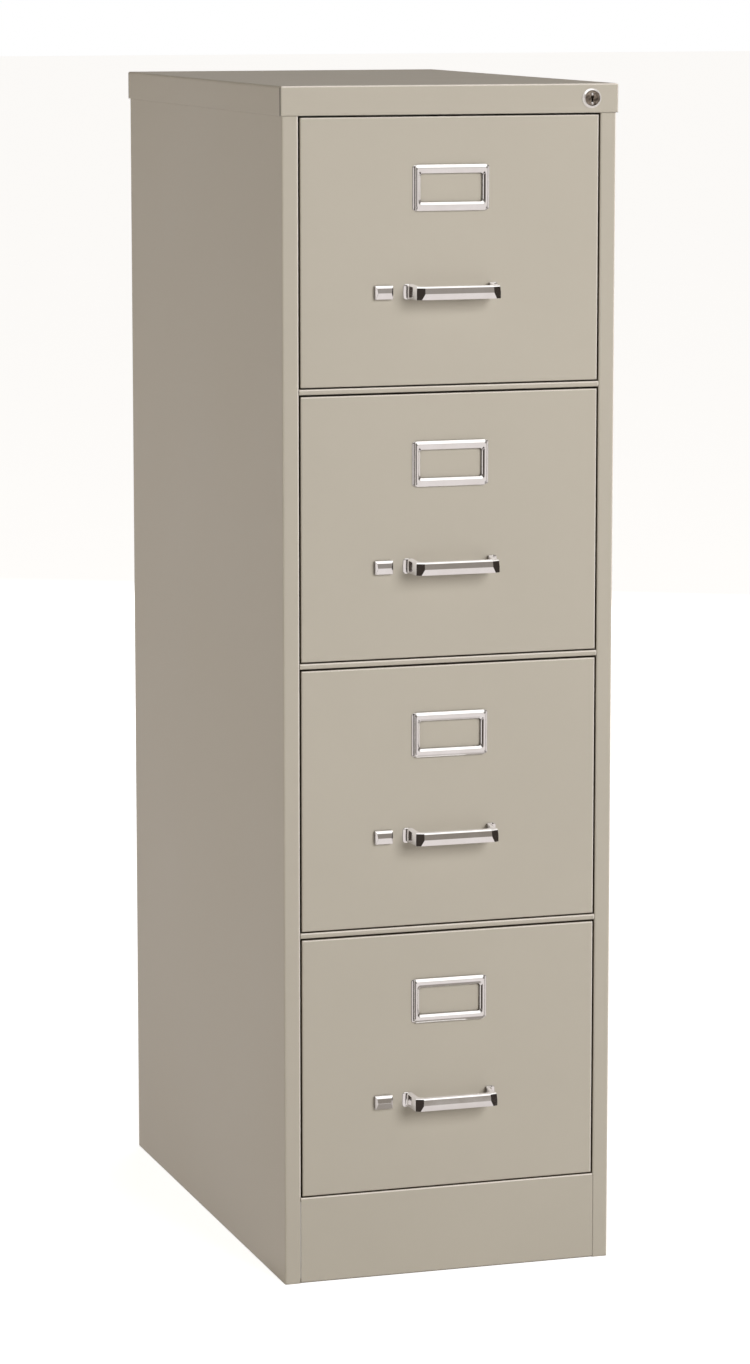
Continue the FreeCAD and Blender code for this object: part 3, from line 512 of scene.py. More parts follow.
def soften(mesh, width, steps, sharp_from=18.0):
    """Cleans a mesh and rounds its edges."""
    work = clean_faces(mesh)
    limit = math.radians(sharp_from)
    sharp = [e for e in work.edges if len(e.link_faces) == 2 and e.calc_face_angle(0.0) > limit]
    bmesh.ops.bevel(
        work,
        geom=sharp,
        offset=width,
        offset_type="OFFSET",
        segments=steps,
        profile=0.5,
        affect="EDGES",
        clamp_overlap=True,
    )
    bmesh.ops.remove_doubles(work, verts=work.verts, dist=BEVEL_MERGE_DISTANCE)
    for face in work.faces:
        face.smooth = True
    work.to_mesh(mesh)
    work.free()


def keep_flats(piece):
    """Weights the smooth shading by face size, so that flats stay flat between their rounded edges."""
    weighted = piece.modifiers.new("flat_faces_stay_flat", "WEIGHTED_NORMAL")
    weighted.keep_sharp = True
    weighted.weight = 100


def ring_mesh(name, rings, joined=True, smooth=True):
    """Skin over rings of equal point counts. Its last ring joins the first one, or both ends are capped."""
    work = bmesh.new()
    rows = [[work.verts.new(point) for point in ring] for ring in rings]
    count = len(rows[0])
    for low, high in zip(rows, rows[1:]):
        for i in range(count):
            j = (i + 1) % count
            work.faces.new((low[i], low[j], high[j], high[i]))
    if joined:
        for i in range(count):
            j = (i + 1) % count
            work.faces.new((rows[-1][i], rows[-1][j], rows[0][j], rows[0][i]))
    else:
        work.faces.new(rows[0])
        work.faces.new(rows[-1])
    bmesh.ops.recalc_face_normals(work, faces=work.faces)
    for face in work.faces:
        face.smooth = smooth
    return mesh_of(work, name)


def rounded_ring(half_x, half_z, radius, y, centre_z, steps=10):
    """Points of an upright rounded rectangle at depth y."""
    points = []
    for corner in range(4):
        sign_x = (1, -1, -1, 1)[corner]
        sign_z = (1, 1, -1, -1)[corner]
        centre = (sign_x * (half_x - radius), sign_z * (half_z - radius))
        for step in range(steps + 1):
            angle = math.pi / 2 * (corner + step / steps)
            across = centre[0] + radius * math.cos(angle)
            up = centre[1] + radius * math.sin(angle)
            points.append(Vector((across, y, centre_z + up)))
    return points


# Pulls and thumb pieces


# Levels of the bar from its top, as height above the middle, setback from the front and lean of the corner
BAR_LEVELS = (
    (7.1, 2.2, 1.0),
    (6.4, 1.4, 1.0),
    (5.6, 0.9, 1.0),
    (-0.6, 0.0, 0.0),
    (-3.85, 0.7, 0.0),
    (-7.1, 1.4, 0.0),
)
# The same levels on the foot: height, and how far they lie inside its widest place
FOOT_LEVELS = ((8.7, 3.2), (8.1, 1.4), (6.6, 0.3), (-0.6, 0.0), (-6.2, 0.3), (-8.1, 2.2))
# Stations of a leg from above: outer place, then inner place
LEG_STATIONS = (
    (48.25, 7.5, 42.0, 12.5),
    (48.35, 12.0, 42.4, 16.0),
    (48.5, 17.5, 42.7, 20.0),
    (48.65, 22.5, 43.0, 24.0),
    (48.8, 26.3, 43.3, 27.0),
    (49.1, 28.4, 43.6, 28.8),
    (49.7, 29.6, 43.9, 29.9),
    (50.6, 30.3, 44.3, 30.5),
    (52.0, 30.75, 44.8, 31.0),
    (53.6, 31.1, 45.2, 31.5),
    (54.3, 31.3, 45.4, 31.8),
    (54.4, 31.9, 45.45, 31.9),
)
LEG_INSETS = (1.6, 1.0, 0.5, 0.0, 0.2, 0.8)
BAR_HALF_HEIGHT = 7.1
# End of the bar's face in front, and the place of its back edge
FACE_END_X, BACK_END_X, BACK_Y = 39.2, 35.0, 8.0
# Outer and inner edge of the mitred corner
CORNER_X, CORNER_Y, INNER_CORNER_X, INNER_CORNER_Y = 48.0, 3.6, 40.2, 9.6
CHAMFER_SLOPE, UPPER_END_LEAN = 0.409, 0.2
CORNER_LEAN_X, CORNER_LEAN_Y = 0.45, 0.9
FLARE_START, FOOT_DEPTH, FLARE_CURVE = 8.0, 31.9, 1.4
# How far the inner edge of a foot spreads above and below the bar
FOOT_RISE, FOOT_DROP = 1.6, 1.0
PULL_ROUNDING, THUMB_ROUNDING, SPRING_ROUNDING = 0.3 * MM, 0.35 * MM, 0.12 * MM
EDGE_STEPS, SPRING_STEPS, PULL_SHARP_FROM = 3, 2, 14.0


def closed_ring(x, y, front):
    """Ring of the points in front and an upper and lower point behind them."""
    return [(x, y, BAR_HALF_HEIGHT)] + front + [(x, y, -BAR_HALF_HEIGHT)]


def pull_rings(side):
    """Rings from the middle of the bar to the foot on one side, as points right of, behind and above the centre."""
    middle, face_end, corner = [], [], []
    for height, setback, lean in BAR_LEVELS:
        middle.append((0.0, setback, height))
        end_x = FACE_END_X - UPPER_END_LEAN * setback if lean else FACE_END_X + setback / CHAMFER_SLOPE
        face_end.append((end_x, setback, height))
        pushed = setback * lean
        corner.append((CORNER_X - CORNER_LEAN_X * pushed, CORNER_Y + CORNER_LEAN_Y * pushed, height))
    rings = [
        closed_ring(0.0, BACK_Y, middle),
        closed_ring(BACK_END_X, BACK_Y, face_end),
        closed_ring(INNER_CORNER_X, INNER_CORNER_Y, corner),
    ]
    for outer_x, outer_y, inner_x, inner_y in LEG_STATIONS:
        share = min(max((outer_y - FLARE_START) / (FOOT_DEPTH - FLARE_START), 0.0), 1.0)
        ease = share ** FLARE_CURVE
        ring = [(inner_x, inner_y, BAR_HALF_HEIGHT + FOOT_RISE * ease)]
        for (bar_z, _, _), (foot_z, foot_in), leg_in in zip(BAR_LEVELS, FOOT_LEVELS, LEG_INSETS):
            inset = leg_in + (foot_in - leg_in) * ease
            ring.append((outer_x - inset, outer_y, bar_z + (foot_z - bar_z) * ease))
        ring.append((inner_x, inner_y, -BAR_HALF_HEIGHT - FOOT_DROP * ease))
        rings.append(ring)
    return [[(side * x, y, z) for x, y, z in ring] for ring in rings]


def make_pull(number):
    """Bright pull of a drawer: a faceted bar, mitred corners, and legs that flare into round feet."""
    node = "drawer_%d_handle" % number
    low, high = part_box(node)
    centre_z = (low.z + high.z) / 2
    rings = pull_rings(-1)[:0:-1] + pull_rings(1)
    points = [[Vector((x * MM, low.y + y * MM, centre_z + z * MM)) for x, y, z in ring] for ring in rings]
    mesh = ring_mesh("pull_%d" % number, points, joined=False)
    soften(mesh, PULL_ROUNDING, EDGE_STEPS, PULL_SHARP_FROM)
    piece = piece_from(mesh, "pull_%d" % number, CHROME, "chrome", "drawer_%d" % number, node)
    keep_flats(piece)


def make_thumb_piece(number):
    """Bright thumb piece of a latch."""
    node = "drawer_%d_latch_knob" % number
    mesh = nodes[node].data.copy()
    soften(mesh, THUMB_ROUNDING, EDGE_STEPS)
    piece = piece_from(mesh, "thumb_piece_%d" % number, CHROME, "chrome", "latch_%d" % number, node)
    keep_flats(piece)


def make_latch_spring(number):
    """Blued bow spring of a latch, which on the real cabinet shortens towards its anchor as the thumb piece is pushed;
    this piece rides on the drawer unchanged.
    """
    node = "drawer_%d_latch_spring" % number
    mesh = nodes[node].data.copy()
    soften(mesh, SPRING_ROUNDING, SPRING_STEPS)
    piece = piece_from(mesh, "latch_bow_%d" % number, SPRING_BLUE, "spring_steel", "drawer_%d" % number, node)
    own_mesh(piece)


for number in DRAWERS:
    make_pull(number)
    make_thumb_piece(number)
    make_latch_spring(number)


# Label frames

LABEL_HALF_X = 41.1 * MM
LABEL_HALF_Z = 25.0 * MM
LABEL_RISE = 4.8 * MM
LABEL_CORNER = 2.8 * MM
MOUTH_HALF_X = 36.5 * MM
MOUTH_HALF_Z = 15.5 * MM
MOUTH_CORNER = 3.0 * MM
WING_SPREAD, WING_DROP = 2.6 * MM, 0.6 * MM
# Rounded foot of the frame in millimetres: places inside its widest outline, and height over the drawer front
FOOT_ROLL = ((0.3, 0.3, 0.02), (0.0, 0.0, 0.3), (0.0, 0.0, 0.8), (0.3, 0.1, 1.1))
# Ledge over the foot in millimetres: places outside the rim, and height over the drawer front
LEDGE = ((0.5, -0.3, 1.3), (0.0, 0.0, 1.9))
# How much of a step sideways goes into the radius of the corners
CORNER_SHARE = 0.4
# Outer bevel of the frame in millimetres: drop from its crown, and how far in the sides and rails are there
RIM_BEVEL = (
    (2.3, 0.0, 0.0),
    (2.0, 0.02, 0.08),
    (1.7, 0.05, 0.35),
    (1.0, 0.14, 1.64),
    (0.7, 0.50, 2.19),
    (0.3, 1.00, 2.92),
    (0.1, 1.25, 3.3),
    (0.0, 1.50, 3.6),
)
# Mouth of the frame in millimetres: places outside its opening at the sides and at the rails, and depth
MOUTH_BEVEL = (
    (1.9, 3.0, 0.0),
    (1.7, 2.75, 0.08),
    (0.95, 1.6, 0.73),
    (0.2, 0.45, 1.38),
    (0.0, 0.25, 1.5),
    (-0.8, 0.1, 1.55),
    (-0.95, 0.0, 1.8),
    (-0.95, 0.0, 4.78),
)


def label_rings(centre_z, face_y):
    """Rings of a label frame from its foot, over its rolled face, and down into its mouth."""
    crown = face_y - LABEL_RISE
    foot_x, foot_z = LABEL_HALF_X + WING_SPREAD, LABEL_HALF_Z - WING_DROP
    rings = []
    for side_in, rail_in, rise in FOOT_ROLL:
        rings.append((foot_x - side_in * MM, foot_z - rail_in * MM, LABEL_CORNER, face_y - rise * MM))
    for side_out, rail_out, rise in LEDGE:
        half_x, half_z = LABEL_HALF_X + side_out * MM, LABEL_HALF_Z + rail_out * MM
        rings.append((half_x, half_z, LABEL_CORNER, face_y - rise * MM))
    for drop, side_in, rail_in in RIM_BEVEL:
        half_x, half_z = LABEL_HALF_X - side_in * MM, LABEL_HALF_Z - rail_in * MM
        rings.append((half_x, half_z, LABEL_CORNER - CORNER_SHARE * side_in * MM, crown + drop * MM))
    for side_out, rail_out, sink in MOUTH_BEVEL:
        half_x, half_z = MOUTH_HALF_X + side_out * MM, MOUTH_HALF_Z + rail_out * MM
        rings.append((half_x, half_z, MOUTH_CORNER + CORNER_SHARE * side_out * MM, crown + sink * MM))
    return [rounded_ring(x, z, radius, y, centre_z) for x, z, radius, y in rings]


def make_label_frame(number):
    """Bright frame for a drawer's label, with a rounded face and a sloping mouth."""
    node = "drawer_%d_label_holder" % number
    low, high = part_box(node)
    front_low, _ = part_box("drawer_%d_front" % number)
    centre_z = (low.z + high.z) / 2
    mesh = ring_mesh("label_frame_%d" % number, label_rings(centre_z, front_low.y))
    piece = piece_from(mesh, "label_frame_%d" % number, FRAME_CHROME, "chrome", "drawer_%d" % number, node)
    keep_flats(piece)


for number in DRAWERS:
    make_label_frame(number)


# Rows of balls, rivets, screws and weld marks

# Parts of a screw's radius: its crown, and the length and width of its slots. Of its height: the slots' place
CROWN_SHARE, SLOT_LONG, SLOT_SLIM, SLOT_LIFT = 0.78, 1.05, 0.24, 1.15
SCREW_SIDES = 24
# Balls of a slide: place across, height above and below the middle, and start of the row
OUTER_BALLS = (165.4 * MM, 19.95 * MM, 65.75 * MM)
INNER_BALLS = (164.4 * MM, 15.35 * MM, -250.25 * MM)
RUNNER_WEB, RIVETS_FROM = 160.7 * MM, 40.0 * MM
SLIDE_WEB, SCREWS_FROM = 171.0 * MM, 26.0 * MM
WELDS_IN, WELDS_FROM = 9.0 * MM, 60.0 * MM
BALL_ROW = {"Count": 20, "Step": (0.0, 11.0 * MM, 0.0), "Radius": 1.65 * MM}
RIVET_ROW = {"Count": 4, "Step": (0.0, 155.0 * MM, 0.0), "Radius": 2.8 * MM, "Height": 0.9 * MM}
SCREW_ROW = {"Count": 2, "Step": (0.0, 507.0 * MM, 0.0), "Radius": 3.4 * MM, "Height": 0.9 * MM}
WELD_ROW = {"Count": 10, "Step": (0.0, 0.0, 130.0 * MM), "Radius": 3.2 * MM, "Height": 0.25 * MM}
CRISP_FROM = math.radians(38)


def in_geometry(tree, kind, inputs=None, **settings):
    """Adds a geometry node and gives its first output."""
    return put(tree, kind, inputs, **settings).outputs[0]


def ball_shape(tree, taken, segments=10, rings=6):
    """One ball."""
    inputs = {"Segments": segments, "Rings": rings, "Radius": taken["Radius"]}
    return in_geometry(tree, "GeometryNodeMeshUVSphere", inputs)


def dome_shape(tree, taken, *sizes):
    """One ball that is flattened to the named sizes along its axes."""
    dome = ball_shape(tree, {"Radius": 1.0}, 20, 10)
    size = in_geometry(tree, "ShaderNodeCombineXYZ", {axis: taken[label] for axis, label in enumerate(sizes)})
    return in_geometry(tree, "GeometryNodeTransform", {"Geometry": dome, "Scale": size})


def rivet_shape(tree, taken):
    """One rivet head: a shallow dome on each side of the sheet's face."""
    return dome_shape(tree, taken, "Height", "Radius", "Radius")


def weld_shape(tree, taken):
    """One weld mark: a very flat dome."""
    return dome_shape(tree, taken, "Radius", "Height", "Radius")


def screw_shape(tree, taken):
    """One pan head with a cross recess."""
    full = maths(tree, "MULTIPLY", taken["Height"], 2.0)
    rim = maths(tree, "MULTIPLY", taken["Radius"], CROWN_SHARE)
    inputs = {"Vertices": SCREW_SIDES, "Radius": taken["Radius"], "Depth": taken["Height"]}
    collar = in_geometry(tree, "GeometryNodeMeshCylinder", inputs)
    inputs = {"Vertices": SCREW_SIDES, "Radius": rim, "Depth": full}
    crown = in_geometry(tree, "GeometryNodeMeshCylinder", inputs)
    long, slim = (maths(tree, "MULTIPLY", taken["Radius"], share) for share in (SLOT_LONG, SLOT_SLIM))
    cuts = []
    for across, up in ((long, slim), (slim, long)):
        size = in_geometry(tree, "ShaderNodeCombineXYZ", {0: across, 1: up, 2: taken["Height"]})
        bar = in_geometry(tree, "GeometryNodeMeshCube", {"Size": size})
        lift = in_geometry(tree, "ShaderNodeCombineXYZ", {2: maths(tree, "MULTIPLY", taken["Height"], SLOT_LIFT)})
        for way in (1.0, -1.0):
            moved = put(tree, "ShaderNodeVectorMath", {0: lift, 1: (0.0, 0.0, way)}, operation="MULTIPLY").outputs[0]
            cuts.append(in_geometry(tree, "GeometryNodeTransform", {"Geometry": bar, "Translation": moved}))
    head = put(tree, "GeometryNodeMeshBoolean", operation="UNION")
    tree.links.new(collar, head.inputs["Mesh 2"])
    tree.links.new(crown, head.inputs["Mesh 2"])
    recessed = put(tree, "GeometryNodeMeshBoolean", {"Mesh 1": head.outputs[0]}, operation="DIFFERENCE")
    for cut in cuts:
        tree.links.new(cut, recessed.inputs["Mesh 2"])
    turn = (0.0, math.pi / 2, 0.0)
    return in_geometry(tree, "GeometryNodeTransform", {"Geometry": recessed.outputs[0], "Rotation": turn})


def make_row_tree(name, shape):
    """Tree that runs a straight row of one shape from each point of a mesh."""
    tree = bpy.data.node_groups.new(name, "GeometryNodeTree")
    sockets = (
        ("Geometry", "NodeSocketGeometry", None),
        ("Count", "NodeSocketInt", 4),
        ("Step", VECTOR, (0.0, 0.01, 0.0)),
        ("Radius", FLOAT, 0.002),
        ("Height", FLOAT, 0.001),
        ("Finish", "NodeSocketMaterial", None),
    )
    for label, kind, value in sockets:
        socket = tree.interface.new_socket(label, in_out="INPUT", socket_type=kind)
        if value is not None:
            socket.default_value = value
    tree.interface.new_socket("Geometry", in_out="OUTPUT", socket_type="NodeSocketGeometry")
    taken, given = tree.nodes.new("NodeGroupInput").outputs, tree.nodes.new("NodeGroupOutput")
    line = in_geometry(tree, "GeometryNodeMeshLine", {"Count": taken["Count"], "Offset": taken["Step"]}, mode="OFFSET")
    inputs = {"Points": taken["Geometry"], "Instance": line}
    rows = in_geometry(tree, "GeometryNodeInstanceOnPoints", inputs)
    places = in_geometry(tree, "GeometryNodeRealizeInstances", {"Geometry": rows})
    inputs = {"Points": places, "Instance": shape(tree, taken)}
    heads = in_geometry(tree, "GeometryNodeInstanceOnPoints", inputs)
    real = in_geometry(tree, "GeometryNodeRealizeInstances", {"Geometry": heads})
    inputs = {"Geometry": real, "Material": taken["Finish"]}
    tree.links.new(in_geometry(tree, "GeometryNodeSetMaterial", inputs), given.inputs["Geometry"])
    return tree


def make_rows(name, tree, starts, finish, slot, body, **sizes):
    """Runs the tree's rows from each start and makes one piece of them."""
    points = bpy.data.meshes.new(name + "_starts")
    points.from_pydata(starts, [], [])
    holder = placed(name + "_starts", points)
    rows = holder.modifiers.new("rows", "NODES")
    rows.node_group = tree
    named = {item.name: item.identifier for item in tree.interface.items_tree if item.in_out == "INPUT"}
    for label, value in dict(sizes, Finish=finish).items():
        rows[named[label]] = value
    view = bpy.context.evaluated_depsgraph_get()
    mesh = bpy.data.meshes.new_from_object(holder.evaluated_get(view))
    holder.modifiers.clear()
    bpy.data.objects.remove(holder)
    for face in mesh.polygons:
        face.use_smooth = True
    piece = piece_from(mesh, name, finish, slot, body)
    piece.modifiers.new("crisp_rims", "EDGE_SPLIT").split_angle = CRISP_FROM


BALL_ROWS = make_row_tree("rows_of_slide_balls", ball_shape)
RIVET_ROWS = make_row_tree("rows_of_rivets", rivet_shape)
SCREW_ROWS = make_row_tree("rows_of_screws", screw_shape)
WELD_ROWS = make_row_tree("rows_of_weld_marks", weld_shape)


def make_slide_hardware(number):
    """Balls in the strips of the middle members, rivets of the drawer members, screws of the cabinet's members."""
    low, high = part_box("drawer_%d_middle_slides" % number)
    middle = (low.z + high.z) / 2
    starts = []
    for across, up, start in (OUTER_BALLS, INNER_BALLS):
        for side in (-1, 1):
            for way in (-1, 1):
                starts.append((side * across, start, middle + way * up))
    body = "middle_slides_%d" % number
    make_rows("slide_balls_%d" % number, BALL_ROWS, starts, CHROME, "zinc_steel", body, **BALL_ROW)
    low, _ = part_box("drawer_%d_runners" % number)
    starts = [(side * RUNNER_WEB, low.y + RIVETS_FROM, middle) for side in (-1, 1)]
    body = "drawer_%d" % number
    make_rows("runner_rivets_%d" % number, RIVET_ROWS, starts, ZINC, "zinc_steel", body, **RIVET_ROW)
    low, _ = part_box("cabinet_slides")
    starts = [(side * SLIDE_WEB, low.y + SCREWS_FROM, middle) for side in (-1, 1)]
    make_rows("slide_screws_%d" % number, SCREW_ROWS, starts, ZINC, "zinc_steel", "case", **SCREW_ROW)


for number in DRAWERS:
    make_slide_hardware(number)


def make_weld_marks():
    """Rows of faint spot-weld marks along the upright edges of the back."""
    low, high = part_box("back_panel")
    starts = [(side * (high.x - WELDS_IN), high.y, low.z + WELDS_FROM) for side in (-1, 1)]
    make_rows("back_weld_marks", WELD_ROWS, starts, CASE_ENAMEL, "case_paint", "case", **WELD_ROW)


make_weld_marks()


# Lock

LOCK_X = 161.0 * MM
LOCK_Z = 1304.9 * MM
RIM_RADIUS = 11.0 * MM
RIM_RISE = 3.5 * MM
PLUG_RADIUS = 8.2 * MM
TURNING_SIDES = 72
BODY_RADIUS, CORE_RADIUS, BORE_PLAY = 9.5 * MM, 6.05 * MM, 0.05 * MM
THREAD_PITCH, THREAD_FROM, SHOULDER_DEPTH = 0.8 * MM, 6.0 * MM, 7.1 * MM
RIM_EDGE, RIM_ROUND, RIM_STEPS = 9.35 * MM, 0.5 * MM, 4
# Keyhole: radius and height of its round, half width and foot of its slot, and how far the cutter reaches
KEY_ROUND, KEY_ROUND_UP, KEY_SLOT_HALF, KEY_SLOT_LOW = 1.9 * MM, 1.3 * MM, 1.05 * MM, -4.3 * MM
KEY_BEFORE, KEY_DEPTH, KEY_STEPS = 1.0 * MM, 5.4 * MM, 24
PLUG_EDGE, PLUG_EDGE_FROM = 0.25 * MM, math.radians(40)
# Rings on the plug's face in millimetres: radius, and depth behind the face
FACE_RING = ((4.6, 0.1), (4.7, -0.12), (5.0, -0.25), (5.4, -0.12), (5.5, 0.1))
PLUG_RIM = ((6.1, 0.1), (6.1, -0.3), (6.4, -0.36), (8.1, 0.7), (8.1, 1.0))
PIN_HEIGHTS, PIN_RADIUS, PIN_FLATNESS = (4.3 * MM, -5.6 * MM), 1.5 * MM, 0.5


def turned(name, profile):
    """Skin of a turned piece around the lock's axis. Each point of the profile is a radius and a depth."""
    rings = []
    for radius, depth in profile:
        ring = []
        for step in range(TURNING_SIDES):
            angle = 2 * math.pi * step / TURNING_SIDES
            ring.append(Vector((LOCK_X + radius * math.cos(angle), depth, LOCK_Z + radius * math.sin(angle))))
        rings.append(ring)
    return ring_mesh(name, rings)


def make_lock_barrel():
    """Bright barrel of the lock: a domed rim, a stepped bore and a threaded body behind the lip."""
    low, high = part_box("lock_barrel")
    front, back = low.y, high.y
    lip = front + RIM_RISE
    body, bore, shoulder = BODY_RADIUS, PLUG_RADIUS + BORE_PLAY, front + SHOULDER_DEPTH
    profile = [(CORE_RADIUS, back), (body - THREAD_PITCH, back)]
    thread_start = lip + THREAD_FROM
    for turn in range(int((back - thread_start) / THREAD_PITCH)):
        depth = back - turn * THREAD_PITCH
        profile.append((body - 0.45 * MM, depth - 0.1 * MM))
        profile.append((body, depth - 0.45 * MM))
    profile += [(body, thread_start), (body, lip), (RIM_RADIUS, lip), (RIM_RADIUS, lip - 0.5 * MM)]
    profile += [(RIM_RADIUS - 0.25 * MM, lip - 0.8 * MM), (RIM_EDGE + 0.2 * MM, front + RIM_ROUND + 0.1 * MM)]
    for step in range(RIM_STEPS + 1):
        angle = math.pi / 2 * step / RIM_STEPS
        radius = RIM_EDGE - RIM_ROUND * (1 - math.cos(angle))
        profile.append((radius, front + RIM_ROUND * (1 - math.sin(angle))))
    profile += [(bore + 0.3 * MM, front), (bore, front + 0.45 * MM), (bore, shoulder), (CORE_RADIUS, shoulder)]
    mesh = turned("lock_barrel_turned", profile)
    piece = piece_from(mesh, "lock_barrel_turned", CHROME, "chrome", "case", "lock_barrel")
    keep_flats(piece)


def keyhole_cutter(front):
    """Keyhole-shaped prism: a round hole with a slot below it."""
    points = []
    start = math.asin(KEY_SLOT_HALF / KEY_ROUND)
    for step in range(KEY_STEPS + 1):
        angle = -math.pi / 2 + start + (2 * math.pi - 2 * start) * step / KEY_STEPS
        points.append((KEY_ROUND * math.cos(angle), KEY_ROUND_UP + KEY_ROUND * math.sin(angle)))
    points += [(-KEY_SLOT_HALF, KEY_SLOT_LOW), (KEY_SLOT_HALF, KEY_SLOT_LOW)]
    ends = front - KEY_BEFORE, front + KEY_DEPTH
    rings = [[Vector((LOCK_X + x, y, LOCK_Z + z)) for x, z in points] for y in ends]
    return placed("keyhole_cutter", ring_mesh("keyhole_cutter", rings, joined=False, smooth=False))


def make_lock_plug():
    """Turning plug with a keyhole, as one piece with its core, cam arm and pin."""
    low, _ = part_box("lock_plug")
    mesh = nodes["lock_plug"].data.copy()
    work = clean_faces(mesh)
    work.to_mesh(mesh)
    work.free()
    piece = piece_from(mesh, "lock_plug_turned", PLUG_NICKEL, "lock_core", "lock_core", "lock_plug")
    cutter = keyhole_cutter(low.y)
    cut = piece.modifiers.new("keyhole", "BOOLEAN")
    cut.operation, cut.solver, cut.object = "DIFFERENCE", "EXACT", cutter
    view = bpy.context.evaluated_depsgraph_get()
    piece.data = bpy.data.meshes.new_from_object(piece.evaluated_get(view))
    piece.modifiers.clear()
    bpy.data.objects.remove(cutter)
    bend = piece.modifiers.new("broken_edges", "BEVEL")
    bend.width, bend.segments, bend.limit_method, bend.angle_limit = PLUG_EDGE, 2, "ANGLE", PLUG_EDGE_FROM


def make_plug_face():
    """Raised ring around the keyhole, the plug's rim, and the pins above and below the keyhole."""
    low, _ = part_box("lock_plug")
    face = low.y
    ring, rim = ([(radius * MM, face + depth * MM) for radius, depth in rows] for rows in (FACE_RING, PLUG_RIM))
    piece_from(turned("plug_face_ring", ring), "plug_face_ring", PLUG_NICKEL, "lock_core", "lock_core")
    keep_flats(piece_from(turned("plug_rim", rim), "plug_rim", PLUG_NICKEL, "lock_core", "lock_core"))
    work = bmesh.new()
    for height in PIN_HEIGHTS:
        made = bmesh.ops.create_uvsphere(work, u_segments=20, v_segments=12, radius=PIN_RADIUS)
        bmesh.ops.scale(work, vec=(1.0, PIN_FLATNESS, 1.0), verts=made["verts"])
        bmesh.ops.translate(work, vec=(LOCK_X, face, LOCK_Z + height), verts=made["verts"])
    for part in work.faces:
        part.smooth = True
    piece_from(mesh_of(work, "plug_face_pins"), "plug_face_pins", CHROME, "chrome", "lock_core")


make_lock_barrel()
make_lock_plug()
make_plug_face()


# Studio

CAMERA_PLACE = (-1.5937, -5.0070, 1.4601)
CAMERA_YAW, CAMERA_PITCH = 0.3101, 0.1580
FOCAL_PIXELS, PHOTO_HEIGHT, SENSOR = 4571.2, 1364, 36.0
FLOOR_HALF, FLOOR_HEIGHT, FLOOR_GLOW = 60.0, -0.0004, 0.80
FLOOR_DARK, FLOOR_LIGHT = (0.86, 0.86, 0.855, 1.0), (0.90, 0.90, 0.895, 1.0)
# The floor as metal mirrors it, at large and with a painted shadow in a strip just in front of the cabinet
FLOOR_IN_METAL, PAINTED_SHADOW_IN_METAL = (0.85, 0.795, 0.78, 1.0), (0.30, 0.27, 0.24, 1.0)
STRIP_AHEAD, PAINTED_SHADOW_SHARE = 0.06, 0.9
# The room as metal mirrors it: share of the way up, and colour there
ROOM_IN_METAL = (
    (0.0, 0.86, 0.82, 0.80),
    (0.498, 0.86, 0.82, 0.80),
    (0.515, 0.27, 0.24, 0.205),
    (0.56, 0.30, 0.27, 0.24),
    (0.63, 0.38, 0.35, 0.325),
    (0.72, 0.50, 0.47, 0.44),
    (0.80, 1.0, 0.98, 0.96),
    (1.0, 1.0, 0.98, 0.96),
)
# The room's light on paint, from the sides and from overhead
SIDE_LIGHT, OVERHEAD_LIGHT = (0.70, 0.675, 0.625, 1.0), (0.12, 0.10, 0.078, 1.0)
# Soft boxes: place, target, width, height, power and colour
LAMPS = (
    ("key_soft_box", (1.5, -4.6, 2.5), (0.0, 0.0, 0.65), 2.4, 2.4, 155.0, (1.0, 1.0, 1.0)),
    ("side_fill", (-4.4, 0.4, 0.45), (-0.19, -0.1, 0.2), 2.0, 0.8, 34.0, (1.0, 0.93, 0.82)),
    ("back_fill", (2.2, 4.6, 1.3), (0.0, 0.33, 0.65), 2.4, 1.8, 70.0, (1.0, 1.0, 1.0)),
)
# Dark cards: centre, half width and shade
DARK_CARDS = (
    ("dark_card_left", (-0.34, -0.90), 0.13, 1.0),
    ("dark_card_far_left", (-0.76, -0.75), 0.15, 1.6),
    ("dark_card_right", (0.61, -0.60), 0.09, 1.0),
)
CARD_HEIGHT, CARD_COLOUR = 1.6, (0.045, 0.036, 0.031, 1.0)


def make_camera():
    """Camera at the photograph's viewing angle: left of the fronts and a little above the middle."""
    data = bpy.data.cameras.new("studio_camera")
    data.sensor_width = SENSOR
    data.lens = FOCAL_PIXELS / PHOTO_HEIGHT * SENSOR
    data.clip_start, data.clip_end = 0.05, 200.0
    camera = placed("studio_camera", data)
    camera.location = CAMERA_PLACE
    ahead, down = math.cos(CAMERA_PITCH), math.sin(CAMERA_PITCH)
    forward = Vector((math.sin(CAMERA_YAW) * ahead, math.cos(CAMERA_YAW) * ahead, -down))
    camera.rotation_euler = forward.to_track_quat("-Z", "Y").to_euler()
    bpy.context.scene.camera = camera


